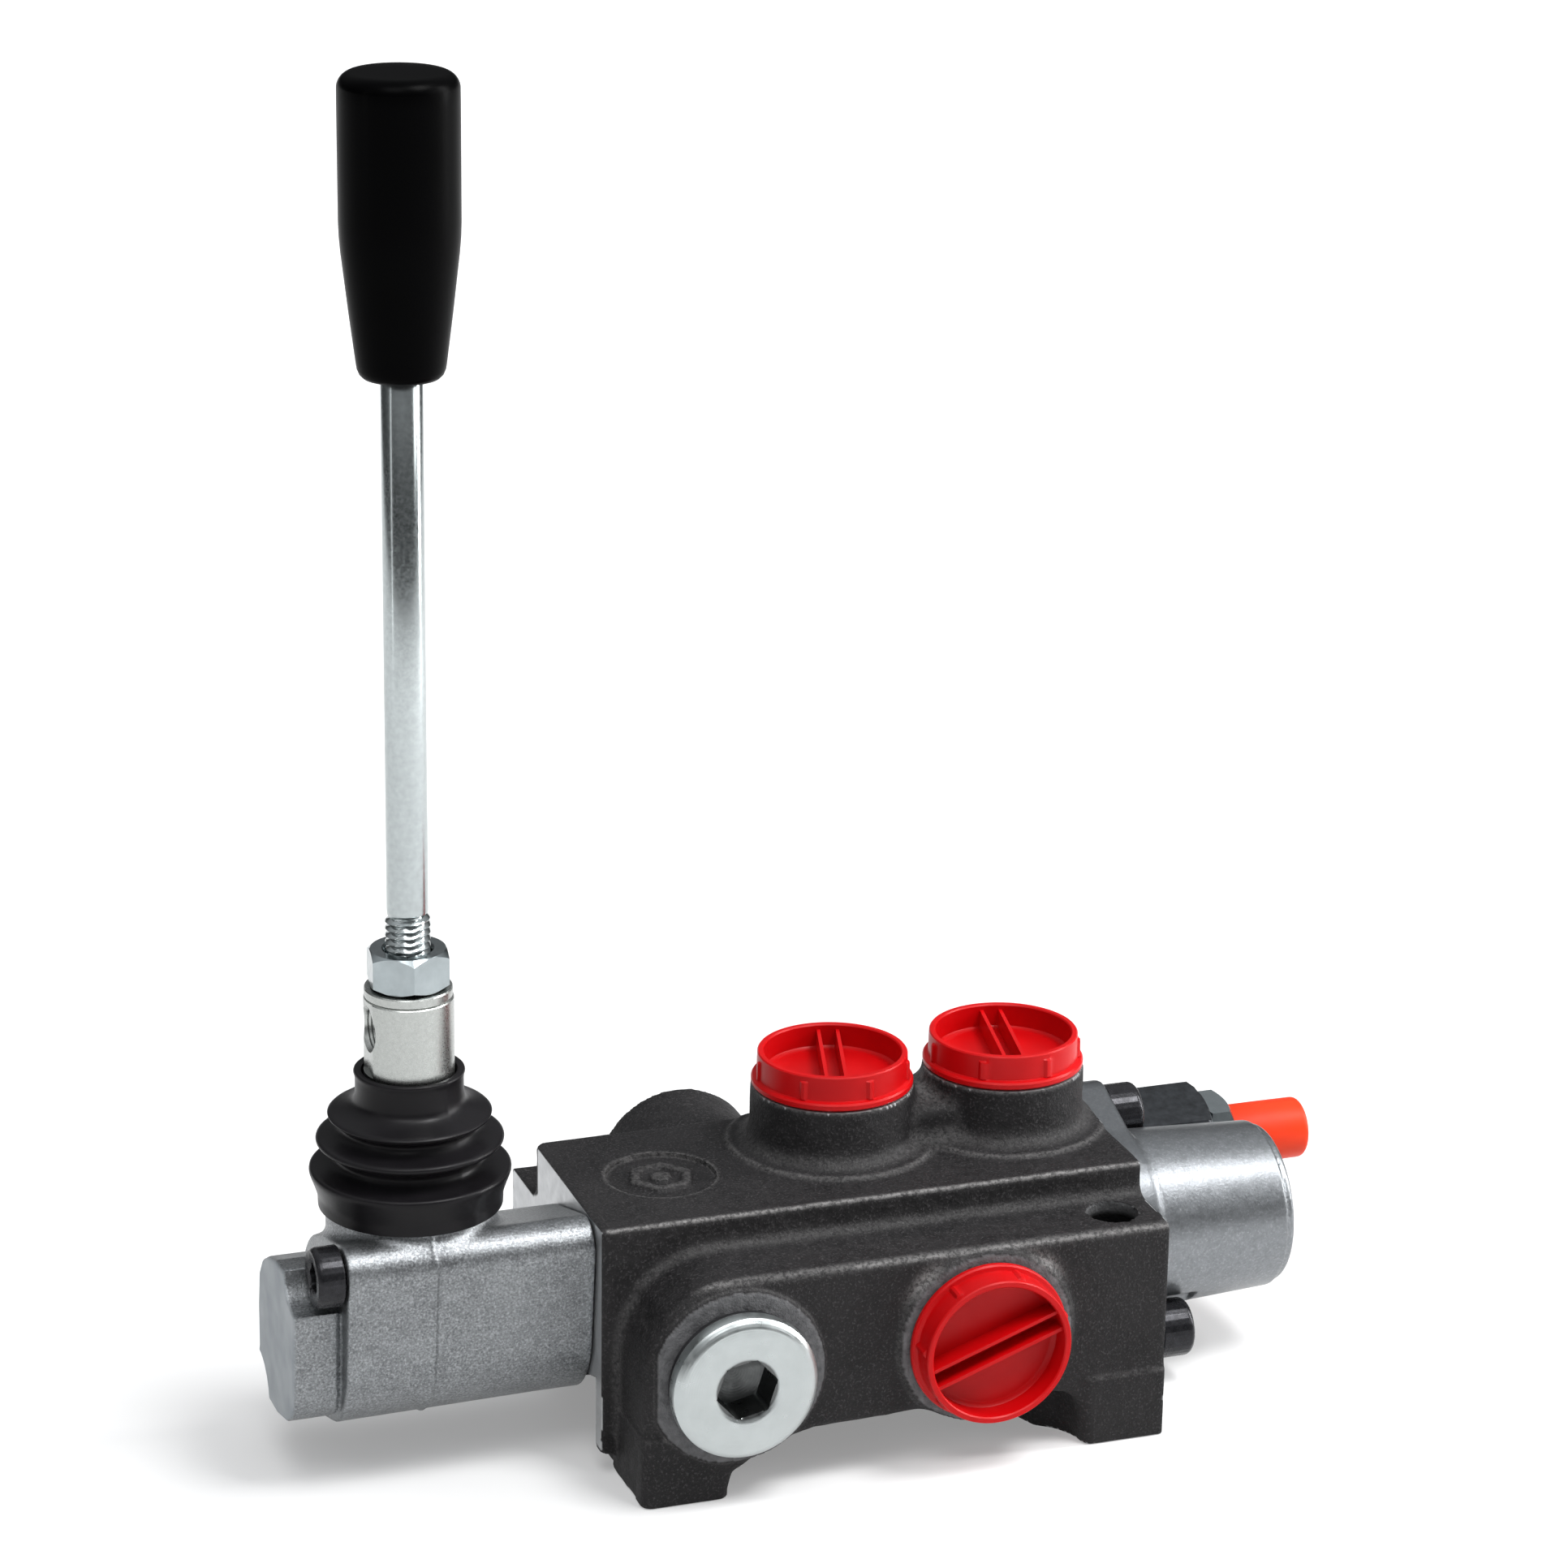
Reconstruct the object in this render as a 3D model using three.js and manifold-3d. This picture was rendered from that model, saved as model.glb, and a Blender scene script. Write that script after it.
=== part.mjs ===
// One-spool hydraulic monoblock valve with a hand lever, a spring-centred
// spool, a relief valve and a load check valve.
//
// Millimetres, +Z up.  The spool slides along X, the lever stands on the -X
// end, the tank port and the carry-over plug face -Y and the two work ports
// face +Z.  All construction below is in the casting's own coordinates, with
// (0, 0, 0) at the front left corner of the casting's top face; the group is
// then shifted so that its origin is the middle of the underside of the feet.
import * as THREE from 'three';
import { mergeVertices } from 'three/addons/utils/BufferGeometryUtils.js';
import Module from 'manifold-3d';

const wasm = await Module();
wasm.setup();

// ---------------------------------------------------------------- dimensions
const GAP = 0.3;                 // clearance between separate pieces

const BODY_L = 122.4;            // casting length along X
const BODY_W = 50.0;             // depth of the upper block along Y
const TOP_Z = 0.0;
const SOLE_Z = -57.2;            // underside of the feet
const BELLY_Z = -46.0;           // underside of the block between the feet
const LEDGE_Z = -7.3;            // front ledge
const FRONT_Y = -16.7;           // cast front face
const SPOT_Y = -17.8;            // machined faces of the two front bosses
const SHELF_Z = -12.5;           // rear shelf
const REAR_Y = 66.5;
const REAR_RY = 74.5;            // rear block behind the relief valve
const INLET_Y = 75.2;            // machined face of the inlet boss

const SPOOL_Y = 25.0;            // spool axis
const SPOOL_Z = -25.2;
const SPOOL_R = 7.7;
const BORE_R = 8.0;
const SPOOL_STROKE = 6.8;        // each way

const PORT_A = [62.4, 32.0];     // work ports, axis +Z
const PORT_B = [102.4, 32.0];
const PORT_FACE_Z = 13.6;
const PORT_R = 12.3;             // G3/4 thread
const PORT_BOSS_R = 18.0;
const TANK = [80.2, -27.9];      // x, z of the tank port, axis -Y
const PLUG = [24.3, -29.0];      // x, z of the carry-over plug, axis -Y
const INLET = [41.0, -21.0];     // x, z of the inlet port, axis +Y

const LEVER_X = -34.5;           // lever axis
const PIVOT_Z = 1.5;             // lever pivot height
const HUB_TOP = 50.1;            // top of the lever hub, under its lock nut
const TURRET_R = 18.0;
const TURRET_TOP = 7.4;
const BOX_L = 54.0;              // lever box, along -X
const BOX_R = 19.6;
const NOSE_X = -64.3;
const LEFT_SCREWS = [[9.4, -6.4], [40.6, -44.0]];
const RIGHT_SCREWS = [[41.1, -6.1], [9.0, -45.2]];
const SCREW_R = 3.8;
const HEAD_R = 6.5;

const CAP_END = 164.0;           // closed end of the spring cap
const CAP_FLANGE_X = 130.7;
const CAP_R0 = 20.2, CAP_R1 = 18.7;

const RELIEF_Y = 60.0, RELIEF_Z = -24.2;
const RELIEF_HEX_AF = 24.0;
const RELIEF_HEX_END = 163.1;
const RELIEF_CAP_END = 189.1;

const CHECK_X = 82.0, CHECK_Y = 56.0;

const HOLE_R = 5.3;              // mounting holes
const HOLE_FRONT = [112.8, -7.4];
const HOLE_REAR = [12.0, 58.0];
const TAPPED = [13.5, -3.0];

const KNOB_TOP = 241.5;
const EXTENT_X = [NOSE_X, RELIEF_CAP_END];
const EXTENT_Y = [SPOT_Y - 7.6, INLET_Y + 3.5];

// ------------------------------------------------------------------ toolbox
function toSolid(geometry) {
  const g = geometry.index ? geometry.toNonIndexed() : geometry.clone();
  for (const name of Object.keys(g.attributes)) {
    if (name !== 'position') g.deleteAttribute(name);
  }
  const m = mergeVertices(g, 1e-4);
  const index = m.index.array;
  const p = m.attributes.position.array;
  let tris = [];
  for (let i = 0; i < index.length; i += 3) {
    const [a, b, c] = [index[i], index[i + 1], index[i + 2]];
    if (a !== b && b !== c && a !== c) tris.push(a, b, c);
  }
  let volume = 0;
  for (let i = 0; i < tris.length; i += 3) {
    const [a, b, c] = [tris[i] * 3, tris[i + 1] * 3, tris[i + 2] * 3];
    volume += p[a] * (p[b + 1] * p[c + 2] - p[b + 2] * p[c + 1])
            - p[a + 1] * (p[b] * p[c + 2] - p[b + 2] * p[c])
            + p[a + 2] * (p[b] * p[c + 1] - p[b + 1] * p[c]);
  }
  if (volume < 0) {
    for (let i = 0; i < tris.length; i += 3) {
      const t = tris[i + 1]; tris[i + 1] = tris[i + 2]; tris[i + 2] = t;
    }
  }
  return new wasm.Manifold(new wasm.Mesh({
    numProp: 3,
    vertProperties: new Float32Array(p),
    triVerts: new Uint32Array(tris),
  }));
}

function toGeometry(solid) {
  const mesh = solid.getMesh();
  const g = new THREE.BufferGeometry();
  const n = mesh.vertProperties.length / mesh.numProp;
  const p = new Float32Array(n * 3);
  for (let i = 0; i < n; i++) {
    for (let k = 0; k < 3; k++) p[i * 3 + k] = mesh.vertProperties[i * mesh.numProp + k];
  }
  g.setAttribute('position', new THREE.BufferAttribute(p, 3));
  g.setIndex(new THREE.BufferAttribute(new Uint32Array(mesh.triVerts), 1));
  return g;
}

const basis = (x, y, z, o = [0, 0, 0]) => new THREE.Matrix4().set(
  x[0], y[0], z[0], o[0],
  x[1], y[1], z[1], o[1],
  x[2], y[2], z[2], o[2],
  0, 0, 0, 1);
const X = [1, 0, 0], Y = [0, 1, 0], Z = [0, 0, 1], NY = [0, -1, 0];

function outline(points, holes = []) {
  const s = new THREE.Shape(points.map(([a, b]) => new THREE.Vector2(a, b)));
  for (const h of holes) s.holes.push(new THREE.Path(h.map(([a, b]) => new THREE.Vector2(a, b))));
  return s;
}

function extrude(points, depth, bevel = 0, steps = 2) {
  const options = bevel > 0
    ? { depth: depth - 2 * bevel, bevelEnabled: true, bevelThickness: bevel, bevelSize: bevel, bevelOffset: -bevel, bevelSegments: steps }
    : { depth, bevelEnabled: false };
  const g = new THREE.ExtrudeGeometry(outline(points), options);
  if (bevel > 0) g.translate(0, 0, bevel);
  return g;
}

// prisms from an outline: (y, z) along X, (x, z) along Y, (x, y) along Z
const prismX = (pts, x0, x1, bevel = 0, steps = 2) =>
  toSolid(extrude(pts, x1 - x0, bevel, steps).applyMatrix4(basis(Y, Z, X, [x0, 0, 0])));
const prismY = (pts, y0, y1, bevel = 0, steps = 2) =>
  toSolid(extrude(pts, y1 - y0, bevel, steps).applyMatrix4(basis(X, Z, NY, [0, y1, 0])));
const prismZ = (pts, z0, z1, bevel = 0, steps = 2) =>
  toSolid(extrude(pts, z1 - z0, bevel, steps).applyMatrix4(basis(X, Y, Z, [0, 0, z0])));

const box = (x0, x1, y0, y1, z0, z1) => toSolid(
  new THREE.BoxGeometry(x1 - x0, y1 - y0, z1 - z0)
    .translate((x0 + x1) / 2, (y0 + y1) / 2, (z0 + z1) / 2));

// turned shapes: profile of [radius, position along the axis]
function turned(profile, segments, frame) {
  return toSolid(new THREE.LatheGeometry(
    profile.map(([r, t]) => new THREE.Vector2(r, t)), segments).applyMatrix4(frame));
}
const turnX = (profile, y, z, n = 20) => turned(profile, n, basis(Z, X, Y, [0, y, z]));
const turnY = (profile, x, z, n = 20) => turned(profile, n, basis(X, Y, Z, [x, 0, z]));
const turnZ = (profile, x, y, n = 20) => turned(profile, n, basis(Y, Z, X, [x, y, 0]));
const rod = (r, a, b) => [[0, a], [r, a], [r, b], [0, b]];
const ringProfile = (ri, ro, a, b) => [[ri, a], [ro, a], [ro, b], [ri, b], [ri, a]];

function arc(cx, cy, r, from, to, n) {
  const pts = [];
  for (let i = 0; i <= n; i++) {
    const t = THREE.MathUtils.degToRad(from + (to - from) * i / n);
    pts.push([cx + r * Math.cos(t), cy + r * Math.sin(t)]);
  }
  return pts;
}

// convex outline around a set of circles [cx, cy, r]
function hull(circles, n = 24) {
  const pts = circles.flatMap(([cx, cy, r]) => arc(cx, cy, r, 0, 360 * (n - 1) / n, n - 1))
    .sort((a, b) => a[0] - b[0] || a[1] - b[1]);
  const cross = (o, a, b) => (a[0] - o[0]) * (b[1] - o[1]) - (a[1] - o[1]) * (b[0] - o[0]);
  const half = (list) => {
    const h = [];
    for (const q of list) {
      while (h.length > 1 && cross(h[h.length - 2], h[h.length - 1], q) <= 1e-6) h.pop();
      h.push(q);
    }
    h.pop();
    return h;
  };
  return [...half(pts), ...half([...pts].reverse())];
}

const hexagon = (cx, cy, af, turn = 0) => {
  const pts = [];
  for (let k = 0; k < 6; k++) {
    const t = THREE.MathUtils.degToRad(turn + 60 * k);
    pts.push([cx + af / Math.sqrt(3) * Math.cos(t), cy + af / Math.sqrt(3) * Math.sin(t)]);
  }
  return pts;
};

class Helix extends THREE.Curve {
  constructor(radius, turns, start, pitchAxis, centre) {
    super();
    Object.assign(this, { radius, turns, start, pitchAxis, centre });
  }
  getPoint(t, target = new THREE.Vector3()) {
    const a = 2 * Math.PI * this.turns * t;
    const along = this.start[0] + (this.start[1] - this.start[0]) * t;
    const c = this.radius * Math.cos(a), s = this.radius * Math.sin(a);
    if (this.pitchAxis === 'x') return target.set(along, this.centre[0] + c, this.centre[1] + s);
    return target.set(this.centre[0] + c, this.centre[1] + s, along);
  }
}
function spring(radius, wire, turns, from, to, axis, centre, perTurn = 8, sides = 5) {
  const section = new THREE.Shape(arc(0, 0, wire, 0, 360 * (sides - 1) / sides, sides - 1)
    .map(([a, b]) => new THREE.Vector2(a, b)));
  const path = new Helix(radius, turns, [from + wire, to - wire], axis, centre);
  return new THREE.ExtrudeGeometry(section, { steps: Math.round(turns * perTurn), bevelEnabled: false, extrudePath: path });
}

const materials = {
  cast: { color: 0x3a3738, roughness: 0.62, metalness: 0.35 },
  aluminium: { color: 0x9a9fa4, roughness: 0.42, metalness: 0.9 },
  zinc: { color: 0xc9cdd0, roughness: 0.25, metalness: 1.0 },
  steel: { color: 0xb4b8bb, roughness: 0.3, metalness: 1.0 },
  black_oxide: { color: 0x141416, roughness: 0.35, metalness: 0.8 },
  rubber: { color: 0x232125, roughness: 0.55, metalness: 0.0 },
  seal: { color: 0x1b1a1c, roughness: 0.6, metalness: 0.0 },
  knob: { color: 0x060607, roughness: 0.12, metalness: 0.0 },
  red: { color: 0xd01018, roughness: 0.3, metalness: 0.0 },
  orange: { color: 0xf0481c, roughness: 0.45, metalness: 0.0 },
};

const group = new THREE.Group();
function add(name, shape, finish) {
  const geometry = shape instanceof THREE.BufferGeometry ? shape : toGeometry(shape);
  const mesh = new THREE.Mesh(geometry, new THREE.MeshStandardMaterial(materials[finish]));
  mesh.name = name;
  group.add(mesh);
  return mesh;
}

// ------------------------------------------------------------- valve casting
let body = prismX([[0, 0], [BODY_W, 0], [BODY_W, BELLY_Z], [0, BELLY_Z]], 0, BODY_L, 1.0, 2);
// the left end is cast away below the lever box, behind a narrow front rib
body = body.subtract(prismX([[4.2, -36], [20, -41.2], [33, BELLY_Z + 0.2], [33, -60], [4.2, -60]], -1, 14));
body = body.add(box(0.4, 6, 0.4, 4.2, -51.5, -40));
// front block with its arch and rounded left end
const frontOutline = [
  [4.3, SOLE_Z], [22.5, SOLE_Z], [23.3, -52.2], [26.5, -49.6], [31, -47.2], [36, -45.2], [42, -44.1],
  [67, -43.6], [96, -43.6], [100.4, -44.6], [102.4, -46.8], [103.3, -50.5], [105, SOLE_Z],
  [BODY_L, SOLE_Z], [BODY_L, LEDGE_Z], ...arc(PLUG[0], PLUG[1], 21.7, 90, 135, 5),
  ...arc(PLUG[0], PLUG[1], 20.9, 145, 162, 2), [4.0, -29]];
body = body.add(prismY(frontOutline, FRONT_Y, 6, 2.2, 3));
// fillet strip between the front ledge and the upper block
body = body.add(prismX([[-2.6, LEDGE_Z], [-1.0, LEDGE_Z + 0.5], [-0.3, LEDGE_Z + 1.6], [0, LEDGE_Z + 3.2], [1, LEDGE_Z + 3.2], [1, LEDGE_Z - 0.5], [-2.6, LEDGE_Z - 0.5]], 20, BODY_L - 1));
// feet
body = body.add(prismZ([[4.5, -15], [22.5, -15], [22.5, 12], [4.5, 12]], SOLE_Z, -43, 0.8));
body = body.add(prismZ([[105, -15], [103.2, -11.8], [100.6, -7.9], [97, -4.8], [94.8, 1], [94, 14], [BODY_L - 0.3, 14], [BODY_L - 0.3, -15]], SOLE_Z, -43, 0.8));
// rear block, shelf and feet
body = body.add(prismZ([[0, 48], [0, REAR_Y], [62, REAR_Y], [70, REAR_RY], [BODY_L, REAR_RY], [BODY_L, 48]], -48, SHELF_Z, 1.2));
body = body.add(box(4, 22, 50, REAR_Y - 1, SOLE_Z, -46));
body = body.add(box(101, BODY_L - 0.6, 55, REAR_RY - 1.5, SOLE_Z, -46));
body = body.add(turnX(rod(8, 0, 12), LEFT_SCREWS[1][0], LEFT_SCREWS[1][1], 14));
// port bosses
const topBoss = [[0, -4], [22, -4], [22, 0], [20, 0.5], [18.9, 1.6], [18.4, 3.4], [18.2, 6], [PORT_BOSS_R, PORT_FACE_Z - 0.4], [17.6, PORT_FACE_Z], [0, PORT_FACE_Z]];
let bosses = turnZ(topBoss, ...PORT_A, 24).add(turnZ(topBoss, ...PORT_B, 24));
bosses = bosses.add(prismX([[19, -1], [22, 5], [26, 8.4], [42, 8.4], [46, 5], [49.5, -1]], 74, 91));
bosses = bosses.subtract(box(0, 200, BODY_W + 0.2, 90, -10, 30)).subtract(box(BODY_L, 200, -90, 90, -10, 30));
body = body.add(bosses);
body = body.add(turnY([[0, -10], [21, -10], [21, -16.6], [19.8, -17.2], [19.5, SPOT_Y], [0, SPOT_Y]].reverse(), ...TANK, 24));
body = body.add(turnY([[0, -10], [19.5, -10], [19.5, SPOT_Y], [0, SPOT_Y]].reverse(), ...PLUG, 24).subtract(box(-2, 6.9, -30, 0, -60, 0)));
body = body.add(turnY(rod(18.5, 48, INLET_Y), ...INLET, 24));
// mark recess on top
body = body.subtract(turnZ(rod(11.8, -0.8, 2), 21, 25, 20));

// spool bore with its annular chambers
const chambers = [[20.8, 27.8], [44, 51], [58.9, 65.9], [78.5, 85.5], [98.9, 105.9], [112, 116.5]];
const boreProfile = [[0, -2], [12, -2], [12, 5], [BORE_R, 5]];
for (const [a, b] of chambers) boreProfile.push([BORE_R, a], [12.5, a], [12.5, b], [BORE_R, b]);
boreProfile.push([BORE_R, BODY_L - 5], [12, BODY_L - 5], [12, BODY_L + 2], [0, BODY_L + 2]);
body = body.subtract(turnX(boreProfile, SPOOL_Y, SPOOL_Z, 14));
// ports and galleries
for (const p of [PORT_A, PORT_B]) {
  body = body.subtract(turnZ([[0, -20], [7, -20], [7, -2], [PORT_R, -0.5], [PORT_R, 20], [0, 20]], ...p, 20));
}
body = body.subtract(turnY([[0, -30], [PORT_R, -30], [PORT_R, -2], [7, 1], [7, 15], [0, 15]], ...TANK, 20));
body = body.subtract(turnY([[0, -30], [13.1, -30], [13.1, -2], [7, 1], [7, 15], [0, 15]], ...PLUG, 20));
body = body.subtract(turnY([[0, 90], [PORT_R, 90], [PORT_R, 58], [7, 55], [0, 55]], ...INLET, 20));
body = body.subtract(turnX([[0, 48], [5.5, 48], [5.5, 95], [11.2, 95], [11.2, 120.2], [13.4, 120.2], [13.4, 130], [0, 130]], RELIEF_Y, RELIEF_Z, 14));
body = body.subtract(turnZ([[0, -60], [8.2, -60], [8.2, -31], [4.5, -31], [4.5, -24], [0, -24]], CHECK_X, CHECK_Y, 14));
body = body.subtract(turnY(rod(4, 28, 56), CHECK_X, -37, 10));
// fastener and mounting holes
for (const [y, z] of LEFT_SCREWS) body = body.subtract(turnX(rod(4.1, -1, 17), y, z, 10));
body = body.subtract(turnX(rod(4.1, 112, 130), ...RIGHT_SCREWS[0], 10));
body = body.subtract(turnX(rod(4.1, 104, 130), ...RIGHT_SCREWS[1], 10));
body = body.subtract(turnZ(rod(HOLE_R, -60, 5), ...HOLE_FRONT, 14));
body = body.subtract(turnZ(rod(HOLE_R, -60, 5), ...HOLE_REAR, 14));
body = body.subtract(turnZ(rod(3.4, -60, -46), ...TAPPED, 10));
add('valve_body', body, 'cast');

// -------------------------------------------------------------- lever box
let leverBox = prismX(hull([[SPOOL_Y, SPOOL_Z, BOX_R], [...LEFT_SCREWS[0], 6.1], [...LEFT_SCREWS[1], 6.1]]), -BOX_L, -GAP, 0.9);
const noseOutline = [[8.4, -11], [9.2, -25], [10.2, -33.9], [13.3, -39.3], [17.6, -41.6], [24.8, -43.2], [44, -43.6],
  [40.4, -34], [40.4, -25.4], [39.2, -17.1], [36, -12.9], [31.6, -10.4], [24.4, -8.2], [17.2, -7.6], [9, -7.6]];
leverBox = leverBox.add(prismX(noseOutline, NOSE_X, -BOX_L + 1.5, 0.9));
leverBox = leverBox.add(turnZ([[0, -20], [TURRET_R, -20], [TURRET_R, TURRET_TOP - 0.8], [TURRET_R - 0.8, TURRET_TOP], [0, TURRET_TOP]], LEVER_X, SPOOL_Y, 24));
leverBox = leverBox.subtract(turnX(rod(8.2, NOSE_X - 1, -BOX_L), ...LEFT_SCREWS[0], 14));
leverBox = leverBox.subtract(turnX(rod(8.4, NOSE_X - 1, -BOX_L), ...LEFT_SCREWS[1], 14));
leverBox = leverBox.subtract(turnX(rod(10.5, -59.5, 2), SPOOL_Y, SPOOL_Z, 14));
leverBox = leverBox.subtract(box(LEVER_X - 14.5, LEVER_X + 14.5, SPOOL_Y - 10, SPOOL_Y + 10, -26, 12));
for (const [y, z] of LEFT_SCREWS) leverBox = leverBox.subtract(turnX(rod(4.15, -70, 2), y, z, 10));
// pivot pin seats: two blind round-bottomed slots, open at the top so that the pin drops in
leverBox = leverBox.subtract(turnY(rod(3.8, 8.7, 41.3), LEVER_X, PIVOT_Z, 10));
leverBox = leverBox.subtract(box(LEVER_X - 3.8, LEVER_X + 3.8, 8.7, 41.3, PIVOT_Z, 12));
add('lever_box', leverBox, 'aluminium');

function capScrew(y, z, seat, head, tip, direction) {
  // socket-head screw along X; the head grows from `seat` towards `head`
  const lo = Math.min(seat, head), hi = Math.max(seat, head);
  const chamfer = 0.6;
  const profile = direction < 0
    ? [[0, lo], [HEAD_R - chamfer, lo], [HEAD_R, lo + chamfer], [HEAD_R, hi], [SCREW_R, hi], [SCREW_R, tip], [0, tip]]
    : [[0, tip], [SCREW_R, tip], [SCREW_R, lo], [HEAD_R, lo], [HEAD_R, hi - chamfer], [HEAD_R - chamfer, hi], [0, hi]];
  let s = turnX(profile, y, z, 20);
  const socket = direction < 0 ? [lo - 1, lo + 3.6] : [hi - 3.8, hi + 1];
  return s.subtract(prismX(hexagon(y, z, 6.0, 0), ...socket));
}
const boxSeat = -BOX_L - GAP;
add('lever_box_screw_front', capScrew(...LEFT_SCREWS[0], boxSeat, boxSeat - 5.7, 15.5, -1), 'black_oxide');
add('lever_box_screw_rear', capScrew(...LEFT_SCREWS[1], boxSeat, boxSeat - 5.7, 15.5, -1), 'black_oxide');

// ----------------------------------------------------------- spring cap
let cap = prismX(hull([[SPOOL_Y, SPOOL_Z, CAP_R0], [...RIGHT_SCREWS[0], 7.7], [...RIGHT_SCREWS[1], 7.7]]), BODY_L + GAP, CAP_FLANGE_X, 0.7);
cap = cap.add(turnX([[0, 126], [CAP_R0, 126], [CAP_R0 - 0.1, CAP_FLANGE_X], [CAP_R1, CAP_END - 3.0], [CAP_R1 - 0.7, CAP_END - 2.2], [CAP_R1 - 0.7, CAP_END - 1.0], [CAP_R1 - 1.7, CAP_END], [0, CAP_END]], SPOOL_Y, SPOOL_Z, 28));
cap = cap.subtract(turnX(rod(15, 120, 160), SPOOL_Y, SPOOL_Z, 20));
for (const [y, z] of RIGHT_SCREWS) cap = cap.subtract(turnX(rod(4.15, 120, 140), y, z, 10));
// flats for the screw heads
for (const [y, z] of RIGHT_SCREWS) cap = cap.subtract(turnX(rod(7.4, CAP_FLANGE_X, 142), y, z, 14));
add('spring_cap', cap, 'aluminium');
const capSeat = CAP_FLANGE_X + GAP;
add('spring_cap_screw_upper', capScrew(...RIGHT_SCREWS[0], capSeat, capSeat + 7.6, 113, 1), 'black_oxide');
add('spring_cap_screw_lower', capScrew(...RIGHT_SCREWS[1], capSeat, capSeat + 7.6, 105, 1), 'black_oxide');

// ------------------------------------------------------------- lever parts
const bootOuter = [[19.6, 1.5], [19.6, 3.8], [21.3, 9.0], [20.9, 10.1], [15.6, 12.0], [19.8, 15.9], [19.4, 16.8], [14.6, 19.0], [17.3, 21.6], [17.0, 22.4], [12.2, 24.4], [11.4, 25.6], [11.4, 31.6]];
const bootInner = [[9.9, 31.6], [9.9, 26.8], [10.6, 25.2], [15.4, 21.8], [13.2, 19.0], [17.8, 16.0], [14.3, 12.3], [19.4, 9.1], [18.35, 6.4], [18.35, 1.5]];
add('lever_boot', turnZ([...bootOuter, ...bootInner, bootOuter[0]], LEVER_X, SPOOL_Y, 20), 'rubber');

let hub = turnZ([[0, SPOOL_Z - 4.2], [2.7, SPOOL_Z - 3.2], [4.0, SPOOL_Z - 1.4], [4.2, SPOOL_Z], [4.0, SPOOL_Z + 1.4], [3.3, SPOOL_Z + 3.2], [3.6, -14], [5.2, -9], [8.6, -5], [9.3, -3], [9.5, 29], [9.5, HUB_TOP - 2.2], [9.0, HUB_TOP - 1.7], [9.0, HUB_TOP], [0, HUB_TOP]], LEVER_X, SPOOL_Y, 20);
hub = hub.subtract(turnY(rod(3.8, 0, 50), LEVER_X, PIVOT_Z, 10));
hub = hub.subtract(turnZ(rod(5.0, 33, HUB_TOP + 3), LEVER_X, SPOOL_Y, 14));
hub = hub.subtract(box(LEVER_X - 14, LEVER_X - 8.7, SPOOL_Y - 12, SPOOL_Y + 12, 31.5, HUB_TOP - 2.3));
hub = hub.subtract(turnX(rod(4.6, LEVER_X - 14, LEVER_X), SPOOL_Y, 41.2, 12));
add('lever_hub', hub, 'zinc');
add('lever_pivot_pin', turnY([[0, 9.0], [3.1, 9.0], [3.5, 9.4], [3.5, 40.6], [3.1, 41.0], [0, 41.0]], LEVER_X, PIVOT_Z, 14), 'steel');

const nutSeat = HUB_TOP + GAP;
let nut = prismZ(hexagon(LEVER_X, SPOOL_Y, 16.0, 263), nutSeat, nutSeat + 8);
nut = nut.intersect(turnZ([[0, nutSeat], [8.1, nutSeat], [9.3, nutSeat + 0.7], [9.3, nutSeat + 7.3], [8.1, nutSeat + 8], [0, nutSeat + 8]], LEVER_X, SPOOL_Y, 20));
nut = nut.subtract(turnZ(rod(5.0, 40, 60), LEVER_X, SPOOL_Y, 14));
add('lever_lock_nut', nut, 'zinc');
add('lever_rod', turnZ([[0, 33.5], [4.1, 33.5], [4.7, 34.1], [4.7, HUB_TOP + 15.9], [4.3, HUB_TOP + 16.4], [4.3, 184], [3.7, 184.6], [3.7, 205], [0, 205]], LEVER_X, SPOOL_Y, 14), 'zinc');
add('lever_knob', turnZ([[0, KNOB_TOP], [9.3, KNOB_TOP], [11.2, KNOB_TOP - 0.7], [12.1, KNOB_TOP - 2.4], [12.2, KNOB_TOP - 5], [12.2, 210], [11.9, 207], [9.0, 182.2], [8.5, 180.4], [7.6, 179.9], [4.6, 179.9], [4.6, 207], [0, 207]], LEVER_X, SPOOL_Y, 24), 'knob');

// ------------------------------------------------------------ spool and ends
const spoolProfile = [[0, -43.5], [6.9, -43.5], [SPOOL_R, -42.7]];
for (const [a, b] of [[29.5, 42], [53, 57], [68, 76.5], [87.5, 97], [107.5, 110.5]]) {
  spoolProfile.push([SPOOL_R, a], [5.4, a + 0.8], [5.4, b - 0.8], [SPOOL_R, b]);
}
spoolProfile.push([SPOOL_R, 130.4], [6.9, 131.2], [4.0, 131.2], [4.0, 115], [0, 115]);
let spool = turnX(spoolProfile, SPOOL_Y, SPOOL_Z, 14);
spool = spool.subtract(box(LEVER_X - 4.5, LEVER_X + 4.5, SPOOL_Y - 12, SPOOL_Y + 12, SPOOL_Z - 5.0, SPOOL_Z + 12));
spool = spool.subtract(box(LEVER_X - 8, LEVER_X + 8, SPOOL_Y - 12, SPOOL_Y + 12, SPOOL_Z + 2.6, SPOOL_Z + 12));
add('spool', spool, 'steel');
add('spool_seal_left', turnX(ringProfile(8.05, 11.65, 0.3, 4.6), SPOOL_Y, SPOOL_Z, 14), 'seal');
add('spool_seal_right', turnX(ringProfile(8.05, 11.65, BODY_L - 4.6, BODY_L - 0.3), SPOOL_Y, SPOOL_Z, 14), 'seal');
add('spring_seat_inner', turnX([[4.35, 131.5], [13, 131.5], [13, 133.5], [7.6, 133.5], [7.6, 135.8], [4.35, 135.8], [4.35, 131.5]], SPOOL_Y, SPOOL_Z, 14), 'steel');
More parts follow.
